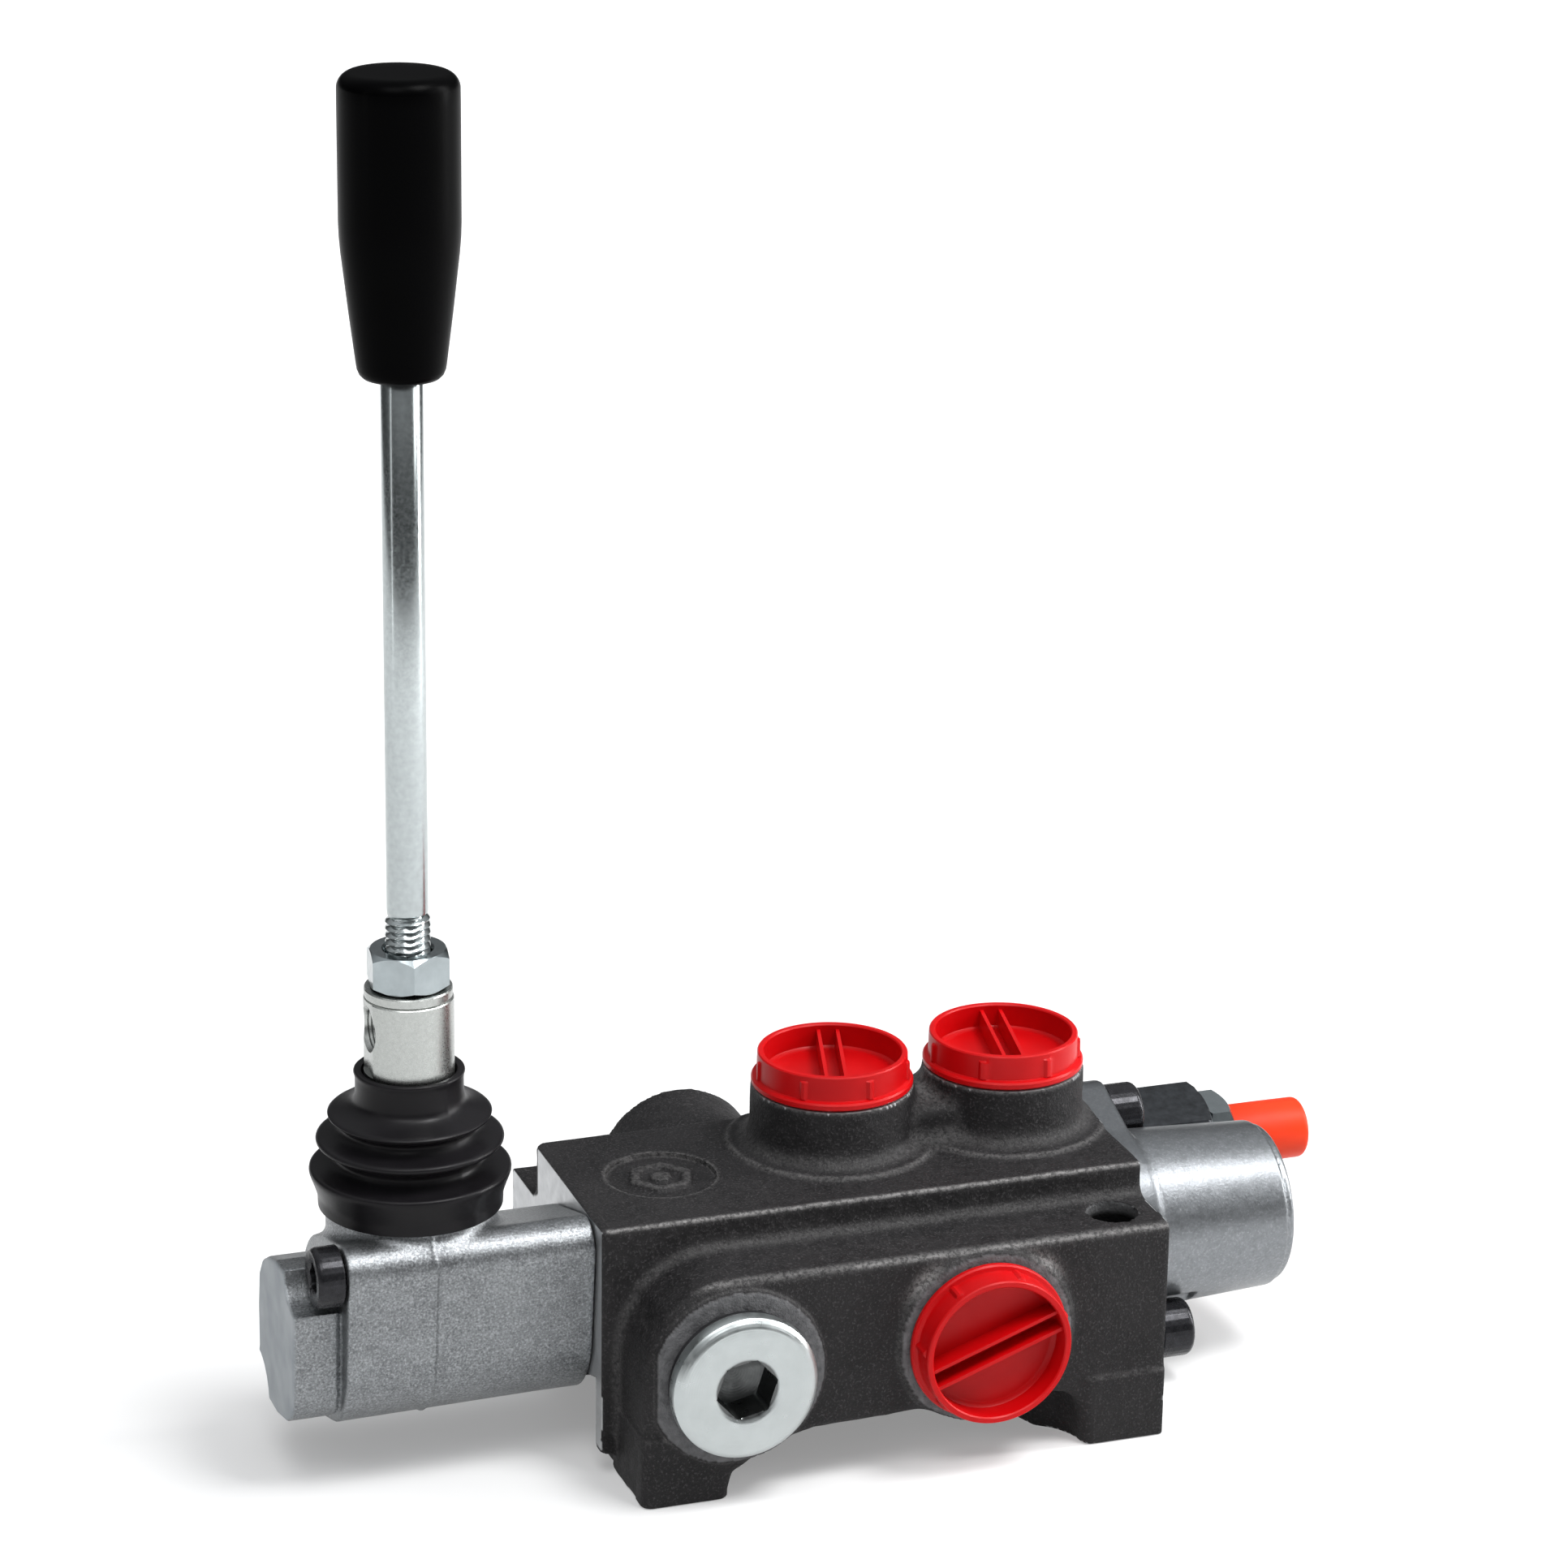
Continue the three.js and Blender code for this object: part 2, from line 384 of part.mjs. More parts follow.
add('spring_seat_outer', turnX([[8.0, 157.0], [14.4, 157.0], [14.4, 159.6], [8.0, 159.6], [8.0, 157.0]], SPOOL_Y, SPOOL_Z, 14), 'steel');
add('spool_tail_bolt', turnX([[0, 115.6], [3.6, 115.6], [3.6, 131.2], [4.0, 131.4], [4.0, 147.4], [6.5, 147.4], [6.5, 151.8], [5.9, 152.4], [0, 152.4]], SPOOL_Y, SPOOL_Z, 14), 'black_oxide');
add('centering_spring', spring(10.4, 1.4, 3.5, 133.85, 156.65, 'x', [SPOOL_Y, SPOOL_Z], 10, 6), 'steel');

// --------------------------------------------------- carry-over plug and seal
add('carry_over_seal', turnY(ringProfile(13.3, 15.6, SPOT_Y - GAP - 1.4, SPOT_Y - GAP).reverse(), ...PLUG, 24), 'seal');
const plugBack = SPOT_Y - 2 * GAP - 1.4, plugFace = plugBack - 4.4;
let plug = turnY([[0, -4], [12.2, -4], [12.8, -4.6], [12.8, plugBack], [16.0, plugBack], [16.0, plugFace + 0.9], [15.1, plugFace], [0, plugFace]], ...PLUG, 28);
plug = plug.subtract(prismY(hexagon(PLUG[0], PLUG[1], 12.0, 12), plugFace - 2, plugFace + 9));
plug = plug.subtract(turnY([[0, plugFace - 1], [8.1, plugFace - 1], [8.1 - 1.0, plugFace], [5.4, plugFace + 1.0], [0, plugFace + 1.0]], ...PLUG, 20));
add('carry_over_plug', plug, 'zinc');

// ------------------------------------------------------------ transit caps
const cupProfile = [[0, 0.6], [10.6, 0.6], [10.6, -8.4], [12.0, -8.4], [12.0, GAP], [17.7, GAP], [17.7, 1.9], [16.6, 2.0], [16.4, 7.6], [14.9, 7.6], [14.8, 1.9], [0, 1.9]];
function transitCap(turn) {
  let c = turnZ(cupProfile, 0, 0, 24);
  for (const s of [-2.1, 2.1]) c = c.add(box(s - 0.6, s + 0.6, -15.2, 15.2, 1.5, 6.4));
  return toGeometry(c).rotateZ(THREE.MathUtils.degToRad(turn));
}
const capMesh = (name, turn, frame) => add(name, transitCap(turn).applyMatrix4(frame), 'red');
capMesh('port_cap_a', -16, basis(X, Y, Z, [PORT_A[0], PORT_A[1], PORT_FACE_Z]));
capMesh('port_cap_b', -7, basis(X, Y, Z, [PORT_B[0], PORT_B[1], PORT_FACE_Z]));
capMesh('port_cap_tank', -70, basis(X, Z, NY, [TANK[0], SPOT_Y, TANK[1]]));
add('port_cap_inlet', turnY([[0, INLET_Y - 8], [11.9, INLET_Y - 8], [11.9, INLET_Y + GAP], [15.4, INLET_Y + GAP], [15.4, INLET_Y + 2.6], [14.4, INLET_Y + 3.5], [0, INLET_Y + 3.5]], ...INLET, 24), 'red');

// -------------------------------------------------------------- relief valve
let sleeve = turnX([[0, 97], [10.0, 97], [10.6, 97.6], [10.6, BODY_L + GAP], [13.6, BODY_L + GAP], [13.6, 126.2], [11.3, 127], [11.3, 140], [0, 140]], RELIEF_Y, RELIEF_Z, 20);
let hexPart = prismX(hexagon(RELIEF_Y, RELIEF_Z, RELIEF_HEX_AF, 78), 138, RELIEF_HEX_END);
hexPart = hexPart.intersect(turnX([[0, 137], [13.2, 138], [14.2, 139.2], [14.2, RELIEF_HEX_END - 1.6], [11.8, RELIEF_HEX_END], [0, RELIEF_HEX_END]], RELIEF_Y, RELIEF_Z, 24));
sleeve = sleeve.add(hexPart);
sleeve = sleeve.subtract(turnX([[0, 90], [3, 90], [3, 101.5], [6.6, 101.5], [6.6, 170], [0, 170]], RELIEF_Y, RELIEF_Z, 14));
add('relief_sleeve', sleeve, 'zinc');
add('relief_seal_ring', turnX(ringProfile(11.3, 13.1, 120.5, BODY_L), RELIEF_Y, RELIEF_Z, 14), 'seal');
add('relief_poppet', turnX([[0, 99.6], [1.6, 100.2], [2.6, 101.4], [6.2, 104.4], [6.2, 110], [3.0, 110], [3.0, 113], [0, 113]], RELIEF_Y, RELIEF_Z, 12), 'steel');
add('relief_spring', spring(4.7, 1.1, 6, 110.35, 139.7, 'x', [RELIEF_Y, RELIEF_Z], 8, 5), 'steel');
add('relief_adjusting_screw', turnX([[0, 136.6], [3.0, 136.6], [3.0, 140], [6.2, 140], [6.2, 143.4], [5.7, 144], [5.7, 170.8], [5.2, 171.4], [5.2, 186], [0, 186]], RELIEF_Y, RELIEF_Z, 14), 'steel');
let lock = prismX(hexagon(RELIEF_Y, RELIEF_Z, 19, 66), RELIEF_HEX_END + GAP, 169.6);
lock = lock.intersect(turnX([[0, 163], [9.6, 163], [11.1, 164.4], [11.1, 168.6], [9.7, 169.6], [0, 169.6]], RELIEF_Y, RELIEF_Z, 24));
lock = lock.subtract(turnX(rod(6.05, 160, 172), RELIEF_Y, RELIEF_Z, 14));
add('relief_lock_nut', lock, 'zinc');
add('relief_cap', turnX([[6.05, 170.0], [7.1, 170.0], [7.1, RELIEF_CAP_END - 1.2], [6.2, RELIEF_CAP_END], [0, RELIEF_CAP_END], [0, 186.6], [5.55, 186.6], [5.55, 171.2], [6.05, 170.6], [6.05, 170.0]], RELIEF_Y, RELIEF_Z, 20), 'orange');

// ---------------------------------------------------------- load check valve
add('check_poppet', turnZ([[0, -38.6], [7.6, -38.6], [7.6, -33.2], [4.5, -31.6], [3.5, -29.9], [0, -29.5]], CHECK_X, CHECK_Y, 12), 'steel');
add('check_spring', spring(4.6, 0.6, 3, -44.25, -38.9, 'z', [CHECK_X, CHECK_Y], 8, 5), 'steel');
let checkPlug = turnZ(rod(7.9, -48.8, -44.6), CHECK_X, CHECK_Y, 14);
checkPlug = checkPlug.subtract(prismZ(hexagon(CHECK_X, CHECK_Y, 6, 0), -50, -46.2));
add('check_plug', checkPlug, 'black_oxide');

// -------------------------------------------------- origin under the feet
group.position.set(-(EXTENT_X[0] + EXTENT_X[1]) / 2, -(EXTENT_Y[0] + EXTENT_Y[1]) / 2, -SOLE_Z);
group.updateMatrixWorld(true);

export default group;
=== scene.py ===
import math
import bmesh
import bpy
import numpy as np
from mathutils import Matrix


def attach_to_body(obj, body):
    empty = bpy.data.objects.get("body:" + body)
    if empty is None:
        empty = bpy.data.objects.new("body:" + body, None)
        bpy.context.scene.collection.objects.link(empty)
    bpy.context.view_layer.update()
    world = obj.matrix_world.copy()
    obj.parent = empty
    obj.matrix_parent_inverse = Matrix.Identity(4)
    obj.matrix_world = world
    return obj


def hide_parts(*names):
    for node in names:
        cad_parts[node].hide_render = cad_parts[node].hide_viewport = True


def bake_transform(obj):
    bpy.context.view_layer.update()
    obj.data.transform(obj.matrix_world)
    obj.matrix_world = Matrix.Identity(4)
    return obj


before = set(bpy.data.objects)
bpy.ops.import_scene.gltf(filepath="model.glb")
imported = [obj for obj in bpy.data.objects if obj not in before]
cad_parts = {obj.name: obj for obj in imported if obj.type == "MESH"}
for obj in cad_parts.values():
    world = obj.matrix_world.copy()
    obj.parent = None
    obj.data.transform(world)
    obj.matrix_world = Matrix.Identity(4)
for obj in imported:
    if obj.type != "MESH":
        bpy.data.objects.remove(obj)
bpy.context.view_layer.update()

import openvdb
from mathutils import Matrix, Vector

# Shapes below are written in millimetres in the casting's own coordinates:
# (0, 0, 0) is the front left corner of the casting's top face.
SHIFT = np.array([-62.4, -26.65, 57.2])
SOLE = -57.2
SPOOL = (25.0, -25.2)
PLUG = (24.3, -29.0)
TANK = (80.2, -27.9)
INLET = (41.0, -21.0)
PORTS = ((62.4, 32.0), (102.4, 32.0))
LEVER = (-34.5, 25.0)
PIVOT_Z = 1.5
RELIEF = (60.0, -24.2)
CHECK = (82.0, 56.0)
SPOT_Y = -17.8
PORT_FACE = 13.6
LEFT_SCREWS = ((9.4, -6.4), (40.6, -44.0))
RIGHT_SCREWS = ((41.1, -6.1), (9.0, -45.2))


def P(x, y, z):
    return Vector(((x + SHIFT[0]) / 1000, (y + SHIFT[1]) / 1000, (z + SHIFT[2]) / 1000))


# ------------------------------------------------------------------ materials
class Mat:
    def __init__(self, name):
        self.m = bpy.data.materials.new(name)
        self.m.use_nodes = True
        self.t = self.m.node_tree
        self.t.nodes.clear()
        self.out = self.n("ShaderNodeOutputMaterial")
        self.b = self.n("ShaderNodeBsdfPrincipled")
        self.t.links.new(self.b.outputs[0], self.out.inputs[0])
        self.co = self.n("ShaderNodeTexCoord").outputs["Object"]

    def n(self, kind, **props):
        node = self.t.nodes.new(kind)
        for k, v in props.items():
            setattr(node, k, v)
        return node

    def put(self, sock, value):
        if isinstance(value, bpy.types.NodeSocket):
            self.t.links.new(value, sock)
        elif value is not None:
            if sock.type == "RGBA" and len(value) == 3:
                value = (*value, 1)
            sock.default_value = value

    def noise(self, mm, detail=3.0, rough=0.55, stretch=None, distortion=0.0):
        """Noise with features about mm across; stretch scales the coordinates."""
        node = self.n("ShaderNodeTexNoise")
        co = self.co
        if stretch:
            mp = self.n("ShaderNodeMapping")
            self.put(mp.inputs[0], co)
            mp.inputs["Scale"].default_value = stretch
            co = mp.outputs[0]
        self.put(node.inputs["Vector"], co)
        node.inputs["Scale"].default_value = 1000.0 / mm
        node.inputs["Detail"].default_value = detail
        node.inputs["Roughness"].default_value = rough
        node.inputs["Distortion"].default_value = distortion
        return node.outputs["Fac"]

    def ramp(self, fac, lo, hi, a=0.0, b=1.0):
        node = self.n("ShaderNodeMapRange")
        node.clamp = True
        self.put(node.inputs[0], fac)
        for i, v in enumerate((lo, hi, a, b)):
            self.put(node.inputs[i + 1], v)
        return node.outputs[0]

    def mix(self, fac, a, b):
        node = self.n("ShaderNodeMix", data_type="RGBA")
        self.put(node.inputs[0], fac)
        self.put(node.inputs[6], a)
        self.put(node.inputs[7], b)
        return node.outputs[2]

    def math(self, op, a, b=None, clamp=False):
        node = self.n("ShaderNodeMath", operation=op, use_clamp=clamp)
        self.put(node.inputs[0], a)
        if b is not None:
            self.put(node.inputs[1], b)
        return node.outputs[0]

    def attr(self, name):
        return self.n("ShaderNodeAttribute", attribute_name=name).outputs["Fac"]

    def bump(self, height, mm, strength=1.0, normal=None):
        node = self.n("ShaderNodeBump")
        node.inputs["Strength"].default_value = strength
        node.inputs["Distance"].default_value = mm / 1000.0
        self.put(node.inputs["Height"], height)
        if normal is not None:
            self.put(node.inputs["Normal"], normal)
        return node.outputs[0]

    def set(self, **v):
        for k, value in v.items():
            self.put(self.b.inputs[k.replace("_", " ")], value)
        return self


def radius(m, centre, axis):
    """Distance from an axis through centre (row metres)."""
    sub = m.n("ShaderNodeVectorMath", operation="SUBTRACT")
    m.put(sub.inputs[0], m.co)
    sub.inputs[1].default_value = centre
    mul = m.n("ShaderNodeVectorMath", operation="MULTIPLY")
    m.put(mul.inputs[0], sub.outputs[0])
    mul.inputs[1].default_value = [0.0 if a == axis else 1.0 for a in range(3)]
    ln = m.n("ShaderNodeVectorMath", operation="LENGTH")
    m.put(ln.inputs[0], mul.outputs[0])
    return ln.outputs["Value"]


def turning(m, centre, axis, pitch):
    """Fine concentric tool marks about an axis through centre (row metres)."""
    return m.math("SINE", m.math("MULTIPLY", radius(m, centre, axis), 2 * math.pi * 1000 / pitch))


def cast_paint():
    m = Mat("cast_paint")
    grain = m.noise(0.55, 4, 0.65)
    mid = m.noise(2.2, 3, 0.6)
    cloud = m.noise(14, 3, 0.5)
    base = m.mix(m.ramp(mid, 0.35, 0.7), (0.0058, 0.0055, 0.0059), (0.0128, 0.0120, 0.0126))
    base = m.mix(m.ramp(grain, 0.54, 0.66, 0, 0.70), base, (0.052, 0.049, 0.051))
    base = m.mix(m.ramp(cloud, 0.35, 0.75, 0, 0.22), base, (0.032, 0.030, 0.031))
    # lighter edges and lines: partly edge wear, partly painted highlight
    wear = m.attr("wear")
    worn_and_lit = m.math("MULTIPLY", wear, m.ramp(m.noise(0.9, 4, 0.7), 0.36, 0.56), True)
    worn_and_lit_even = m.math("MULTIPLY", m.ramp(wear, 0.1, 0.9), 0.30, True)
    worn_and_lit = m.math("MAXIMUM", worn_and_lit, worn_and_lit_even)
    base = m.mix(worn_and_lit, base, (0.38, 0.37, 0.365))
    mach = m.attr("mach")
    base = m.mix(mach, base, m.mix(m.noise(3, 3, 0.6), (0.36, 0.37, 0.38), (0.56, 0.57, 0.58)))
    ring = m.attr("ring")
    base = m.mix(ring, base, m.mix(m.ramp(mid, 0.3, 0.7), (0.075, 0.075, 0.078), (0.15, 0.15, 0.155)))
    # painted shade: near-black at the bottoms of the mounting holes
    base = m.mix(m.attr("dark"), base, (0.0012, 0.0012, 0.0012))
    metal = m.math("MAXIMUM", m.math("MULTIPLY", worn_and_lit, 0.55), m.math("MULTIPLY", mach, 0.85))
    metal = m.math("MAXIMUM", metal, m.math("MULTIPLY", ring, 0.35))
    rough = m.ramp(mid, 0.3, 0.7, 0.54, 0.72)
    rough = m.mix(mach, rough, m.ramp(mid, 0.3, 0.7, 0.28, 0.42))
    keep = m.math("SUBTRACT", 1.0, mach)
    h = m.math("ADD", m.math("MULTIPLY", grain, 0.5), m.math("MULTIPLY", mid, 0.9))
    n = m.bump(m.math("MULTIPLY", h, keep), 0.30, 0.95)
    m.b.inputs["Specular IOR Level"].default_value = 0.22
    return m.set(Base_Color=base, Metallic=metal, Roughness=rough, Normal=n).m


def cast_aluminium():
    m = Mat("cast_aluminium")
    grain = m.noise(0.5, 4, 0.7)
    blotch = m.noise(5.0, 4, 0.6, distortion=0.6)
    cloud = m.noise(18, 2, 0.5)
    base = m.mix(m.ramp(blotch, 0.33, 0.68), (0.165, 0.172, 0.180), (0.225, 0.236, 0.244))
    base = m.mix(m.ramp(grain, 0.52, 0.64, 0, 0.62), base, (0.42, 0.44, 0.45))
    base = m.mix(m.ramp(grain, 0.48, 0.36, 0, 0.65), base, (0.065, 0.068, 0.072))
    base = m.mix(m.ramp(cloud, 0.4, 0.7, 0, 0.14), base, (0.32, 0.335, 0.345))
    mach = m.attr("mach")
    base = m.mix(mach, base, m.mix(m.ramp(m.noise(9, 2, 0.5), 0.3, 0.7), (0.25, 0.275, 0.295), (0.35, 0.372, 0.39)))
    rough = m.mix(mach, m.ramp(blotch, 0.3, 0.7, 0.33, 0.42), (0.6, 0.6, 0.6))
    n = m.bump(m.math("MULTIPLY", grain, m.math("SUBTRACT", 1.0, mach)), 0.12, 0.7)
    metal = m.ramp(mach, 0, 1, 0.88, 0.45)
    return m.set(Base_Color=base, Metallic=metal, Roughness=rough, Normal=n).m


def turned_aluminium():
    m = Mat("barrel_aluminium")
    grain = m.noise(0.6, 4, 0.65)
    band = m.noise(1.7, 3, 0.55)
    base = m.mix(m.ramp(band, 0.35, 0.7), (0.19, 0.20, 0.21), (0.225, 0.236, 0.248))
    base = m.mix(m.ramp(grain, 0.54, 0.7, 0, 0.38), base, (0.44, 0.46, 0.47))
    base = m.mix(m.ramp(grain, 0.46, 0.32, 0, 0.40), base, (0.13, 0.137, 0.145))
    # painted shade: the flange end of the cap, below about x 130.4 mm, is darkened
    sep = m.n("ShaderNodeSeparateXYZ")
    m.put(sep.inputs[0], m.co)
    base = m.mix(m.ramp(sep.outputs[0], P(131.6, 0, 0)[0], P(130.4, 0, 0)[0], 0, 0.62), base, (0.10, 0.106, 0.112))
    n = m.bump(grain, 0.08, 0.6)
    return m.set(Base_Color=base, Metallic=0.9, Roughness=m.ramp(band, 0.3, 0.7, 0.31, 0.37), Normal=n).m


def metal(name, col, rough, blotch=0.12, mm=3.0, metallic=1.0, centre=None, axis=2, pitch=0.35, stretch=None, depth=0.02, dark_in=None):
    m = Mat(name)
    a = m.noise(mm, 4, 0.6, stretch=stretch)
    lo = tuple(c * (1 - blotch * 2) for c in col)
    hi = tuple(min(1, c * (1 + blotch)) for c in col)
    base = m.mix(m.ramp(a, 0.3, 0.7), lo, hi)
    r = m.ramp(m.noise(mm * 0.4, 3, 0.6, stretch=stretch), 0.3, 0.7, rough * 0.8, rough * 1.3)
    h = m.math("MULTIPLY", a, 0.5)
    if centre is not None:
        h = m.math("ADD", h, m.math("MULTIPLY", turning(m, centre, axis, pitch), 0.35))
        if dark_in is not None:
            # painted shade: darker within this radius of the axis
            rad = m.math("MULTIPLY", radius(m, centre, axis), 1000.0)
            base = m.mix(m.ramp(rad, dark_in, dark_in - 0.5), base, (0.11, 0.114, 0.114))
    return m.set(Base_Color=base, Metallic=metallic, Roughness=r, Normal=m.bump(h, depth, 0.6)).m


def rubber(name, col, rough, mm=0.7, depth=0.03):
    m = Mat(name)
    a = m.noise(mm, 4, 0.6)
    c = m.noise(11, 3, 0.5)
    base = m.mix(m.ramp(c, 0.3, 0.7), col, tuple(v * 1.7 for v in col))
    m.b.inputs["Specular IOR Level"].default_value = 0.15
    return m.set(Base_Color=base, Roughness=m.ramp(c, 0.3, 0.7, rough * 0.85, rough * 1.2),
                 Normal=m.bump(a, depth, 0.6)).m


def plastic(name, col, dark, rough, sss, depth=0.01, coat=0.0, spec=0.5):
    m = Mat(name)
    c = m.noise(16, 2, 0.5)
    base = m.mix(m.ramp(c, 0.3, 0.7), col, dark)
    m.set(Base_Color=base, Roughness=m.ramp(c, 0.3, 0.7, rough * 0.9, rough * 1.15), Normal=m.bump(m.noise(1.2, 3, 0.5), depth, 0.5))
    m.b.inputs["Subsurface Weight"].default_value = sss
    m.b.inputs["Subsurface Radius"].default_value = (1.0, 0.12, 0.08)
    m.b.inputs["Subsurface Scale"].default_value = 0.0022
    m.b.inputs["Specular IOR Level"].default_value = spec
    m.b.inputs["Coat Weight"].default_value = coat
    m.b.inputs["Coat Roughness"].default_value = 0.04
    return m.m


M = {
    "cast": cast_paint(),
    "alu": cast_aluminium(),
    "barrel": turned_aluminium(),
    "zinc": metal("bright_zinc", (0.345, 0.385, 0.398), 0.19, 0.06, 4.0),
    "hub": metal("zinc_hub", (0.43, 0.445, 0.43), 0.29, 0.05, 0.8, depth=0.015),
    "rod": metal("zinc_rod", (0.42, 0.455, 0.46), 0.20, 0.05, 1.4, depth=0.012),
    "plug": metal("zinc_plug", (0.45, 0.48, 0.48), 0.32, 0.03, 7.0, centre=tuple(P(PLUG[0], 0, PLUG[1])), axis=1, pitch=0.55, depth=0.02, dark_in=7.1),
    "steel": metal("ground_steel", (0.50, 0.51, 0.53), 0.22, 0.08, 3.0),
    "hexdark": metal("relief_steel", (0.034, 0.037, 0.041), 0.36, 0.22, 2.0, metallic=0.8),
    "oxide": metal("black_oxide", (0.022, 0.022, 0.025), 0.27, 0.2, 2.0, metallic=0.7),
    "boot": rubber("boot_rubber", (0.0042, 0.0038, 0.0045), 0.36),
    "seal": rubber("seal_rubber", (0.012, 0.012, 0.013), 0.42),
    "knob": plastic("knob_black", (0.0004, 0.0004, 0.0005), (0.0007, 0.0007, 0.0008), 0.32, 0.0, 0.004, 0.0, 0.02),
    "red": plastic("cap_red", (0.47, 0.0014, 0.0028), (0.40, 0.0011, 0.0023), 0.36, 0.18, 0.01, 0.0, 0.16),
    "orange": plastic("cap_orange", (0.66, 0.038, 0.007), (0.58, 0.032, 0.007), 0.46, 0.2, 0.01, 0.0, 0.18),
}


# ---------------------------------------------------------------- mesh making
def finish(name, verts, faces, material, body, node, angle=32, fix=True):
    me = bpy.data.meshes.new(name)
    v = (np.asarray(verts, float) + SHIFT) / 1000.0
    me.from_pydata(v.tolist(), [], [list(f) for f in faces])
    bm = bmesh.new()
    bm.from_mesh(me)
    bmesh.ops.remove_doubles(bm, verts=bm.verts, dist=2e-6)
    if fix:
        bmesh.ops.recalc_face_normals(bm, faces=bm.faces)
    bm.to_mesh(me)
    bm.free()
    return attach(name, me, material, body, node, angle)


def attach(name, me, material, body, node, angle=32):
    me.name = name
    me.materials.clear()
    me.materials.append(material)
    me.polygons.foreach_set("use_smooth", [True] * len(me.polygons))
    me.set_sharp_from_angle(angle=math.radians(angle))
    o = bpy.data.objects.new(name, me)
    bpy.context.scene.collection.objects.link(o)
    if body:
        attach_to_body(o, body)
    for nn in ([node] if isinstance(node, str) else (node or [])):
        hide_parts(nn)
    return o


def frame_of(axis, a, b):
    """Maps (u, v, t) to casting coordinates, t along axis."""
    if axis == "x":
        return lambda u, v, t: np.stack([t, a + u, b + v], -1)
    if axis == "y":
        return lambda u, v, t: np.stack([a + u, t, b + v], -1)
    return lambda u, v, t: np.stack([a + u, b + v, t], -1)


def hexr(af, th, turn=0.0):
    d = (np.degrees(th) - turn) % 60.0 - 30.0
    return af / 2 / np.cos(np.radians(d))


def loft(rings, axis, a, b, n=64, closed=False):
    """rings: (radius, t) where radius is a number or an array over angle."""
    th = np.arange(n) * 2 * np.pi / n
    place = frame_of(axis, a, b)
    verts, idx, faces = [], [], []
    for r, t in rings:
        if np.ndim(r) == 0 and r < 1e-9:
            idx.append([len(verts)])
            verts.append(place(np.array(0.0), np.array(0.0), np.array(float(t))))
        else:
            rr = np.full(n, r, float) if np.ndim(r) == 0 else np.asarray(r, float)
            tt = np.full(n, t, float) if np.ndim(t) == 0 else np.asarray(t, float)
            p = place(rr * np.cos(th), rr * np.sin(th), tt)
            idx.append(list(range(len(verts), len(verts) + n)))
            verts.extend(p)
    pairs = list(zip(idx[:-1], idx[1:])) + ([(idx[-1], idx[0])] if closed else [])
    for p, q in pairs:
        if len(p) == 1 and len(q) == 1:
            continue
        for i in range(n):
            j = (i + 1) % n
            if len(p) == 1:
                faces.append((p[0], q[j], q[i]))
            elif len(q) == 1:
                faces.append((p[i], p[j], q[0]))
            else:
                faces.append((p[i], p[j], q[j], q[i]))
    return np.array([np.asarray(v, float).reshape(3) for v in verts]), faces


def angles(n):
    return np.arange(n) * 2 * np.pi / n


def smooth_curve(pts, step):
    """Catmull-Rom through pts, roughly one point per step mm."""
    pts = np.array(pts, float)
    out = []
    for i in range(len(pts) - 1):
        p0 = pts[max(i - 1, 0)]
        p1, p2 = pts[i], pts[i + 1]
        p3 = pts[min(i + 2, len(pts) - 1)]
        k = max(2, int(np.linalg.norm(p2 - p1) / step))
        for s in np.arange(k) / k:
            out.append(0.5 * ((2 * p1) + (p2 - p0) * s + (2 * p0 - 5 * p1 + 4 * p2 - p3) * s * s + (3 * p1 - p0 - 3 * p2 + p3) * s ** 3))
    out.append(pts[-1])
    return np.array(out)


def arcpts(cr, ct, r, a0, a1, k=6):
    return [(cr + r * math.cos(math.radians(a0 + (a1 - a0) * i / k)), ct + r * math.sin(math.radians(a0 + (a1 - a0) * i / k))) for i in range(k + 1)]


def threads(radius, pitch, depth, t0, t1, n=48, step=6):
    th = angles(n)
    rings = []
    k = int((t1 - t0) / (pitch / step))
    for i in range(k + 1):
        t = t0 + (t1 - t0) * i / k
        f = (t / pitch - th / (2 * np.pi)) % 1.0
        edge = min(1.0, (t - t0) / (pitch * 0.8), (t1 - t) / (pitch * 0.8))
        rings.append((radius - depth * np.abs(2 * f - 1) - (1 - edge) * depth * 0.9, t))
    return rings


def boolean(target, cutter_mesh, op="DIFFERENCE"):
    """target: (verts, faces) in casting mm; returns the same after a boolean."""
    objs = []
    for v, f in (target, cutter_mesh):
        me = bpy.data.meshes.new("tmp")
        me.from_pydata(np.asarray(v, float).tolist(), [], [list(q) for q in f])
        bm = bmesh.new()
        bm.from_mesh(me)
        bmesh.ops.remove_doubles(bm, verts=bm.verts, dist=1e-5)
        bmesh.ops.recalc_face_normals(bm, faces=bm.faces)
        bm.to_mesh(me)
        bm.free()
        o = bpy.data.objects.new("tmp", me)
        bpy.context.scene.collection.objects.link(o)
        objs.append(o)
    mod = objs[0].modifiers.new("b", "BOOLEAN")
    mod.operation, mod.object, mod.solver = op, objs[1], "EXACT"
    dg = bpy.context.evaluated_depsgraph_get()
    dg.update()
    res = bpy.data.meshes.new_from_object(objs[0].evaluated_get(dg))
    verts = np.array([list(v.co) for v in res.vertices])
    faces = [tuple(p.vertices) for p in res.polygons]
    for o in objs:
        bpy.data.objects.remove(o)
    return verts, faces


def boxmesh(x0, x1, y0, y1, z0, z1):
    v = [(x, y, z) for x in (x0, x1) for y in (y0, y1) for z in (z0, z1)]
    f = [(0, 1, 3, 2), (4, 6, 7, 5), (0, 4, 5, 1), (2, 3, 7, 6), (0, 2, 6, 4), (1, 5, 7, 3)]
    return np.array(v, float), f


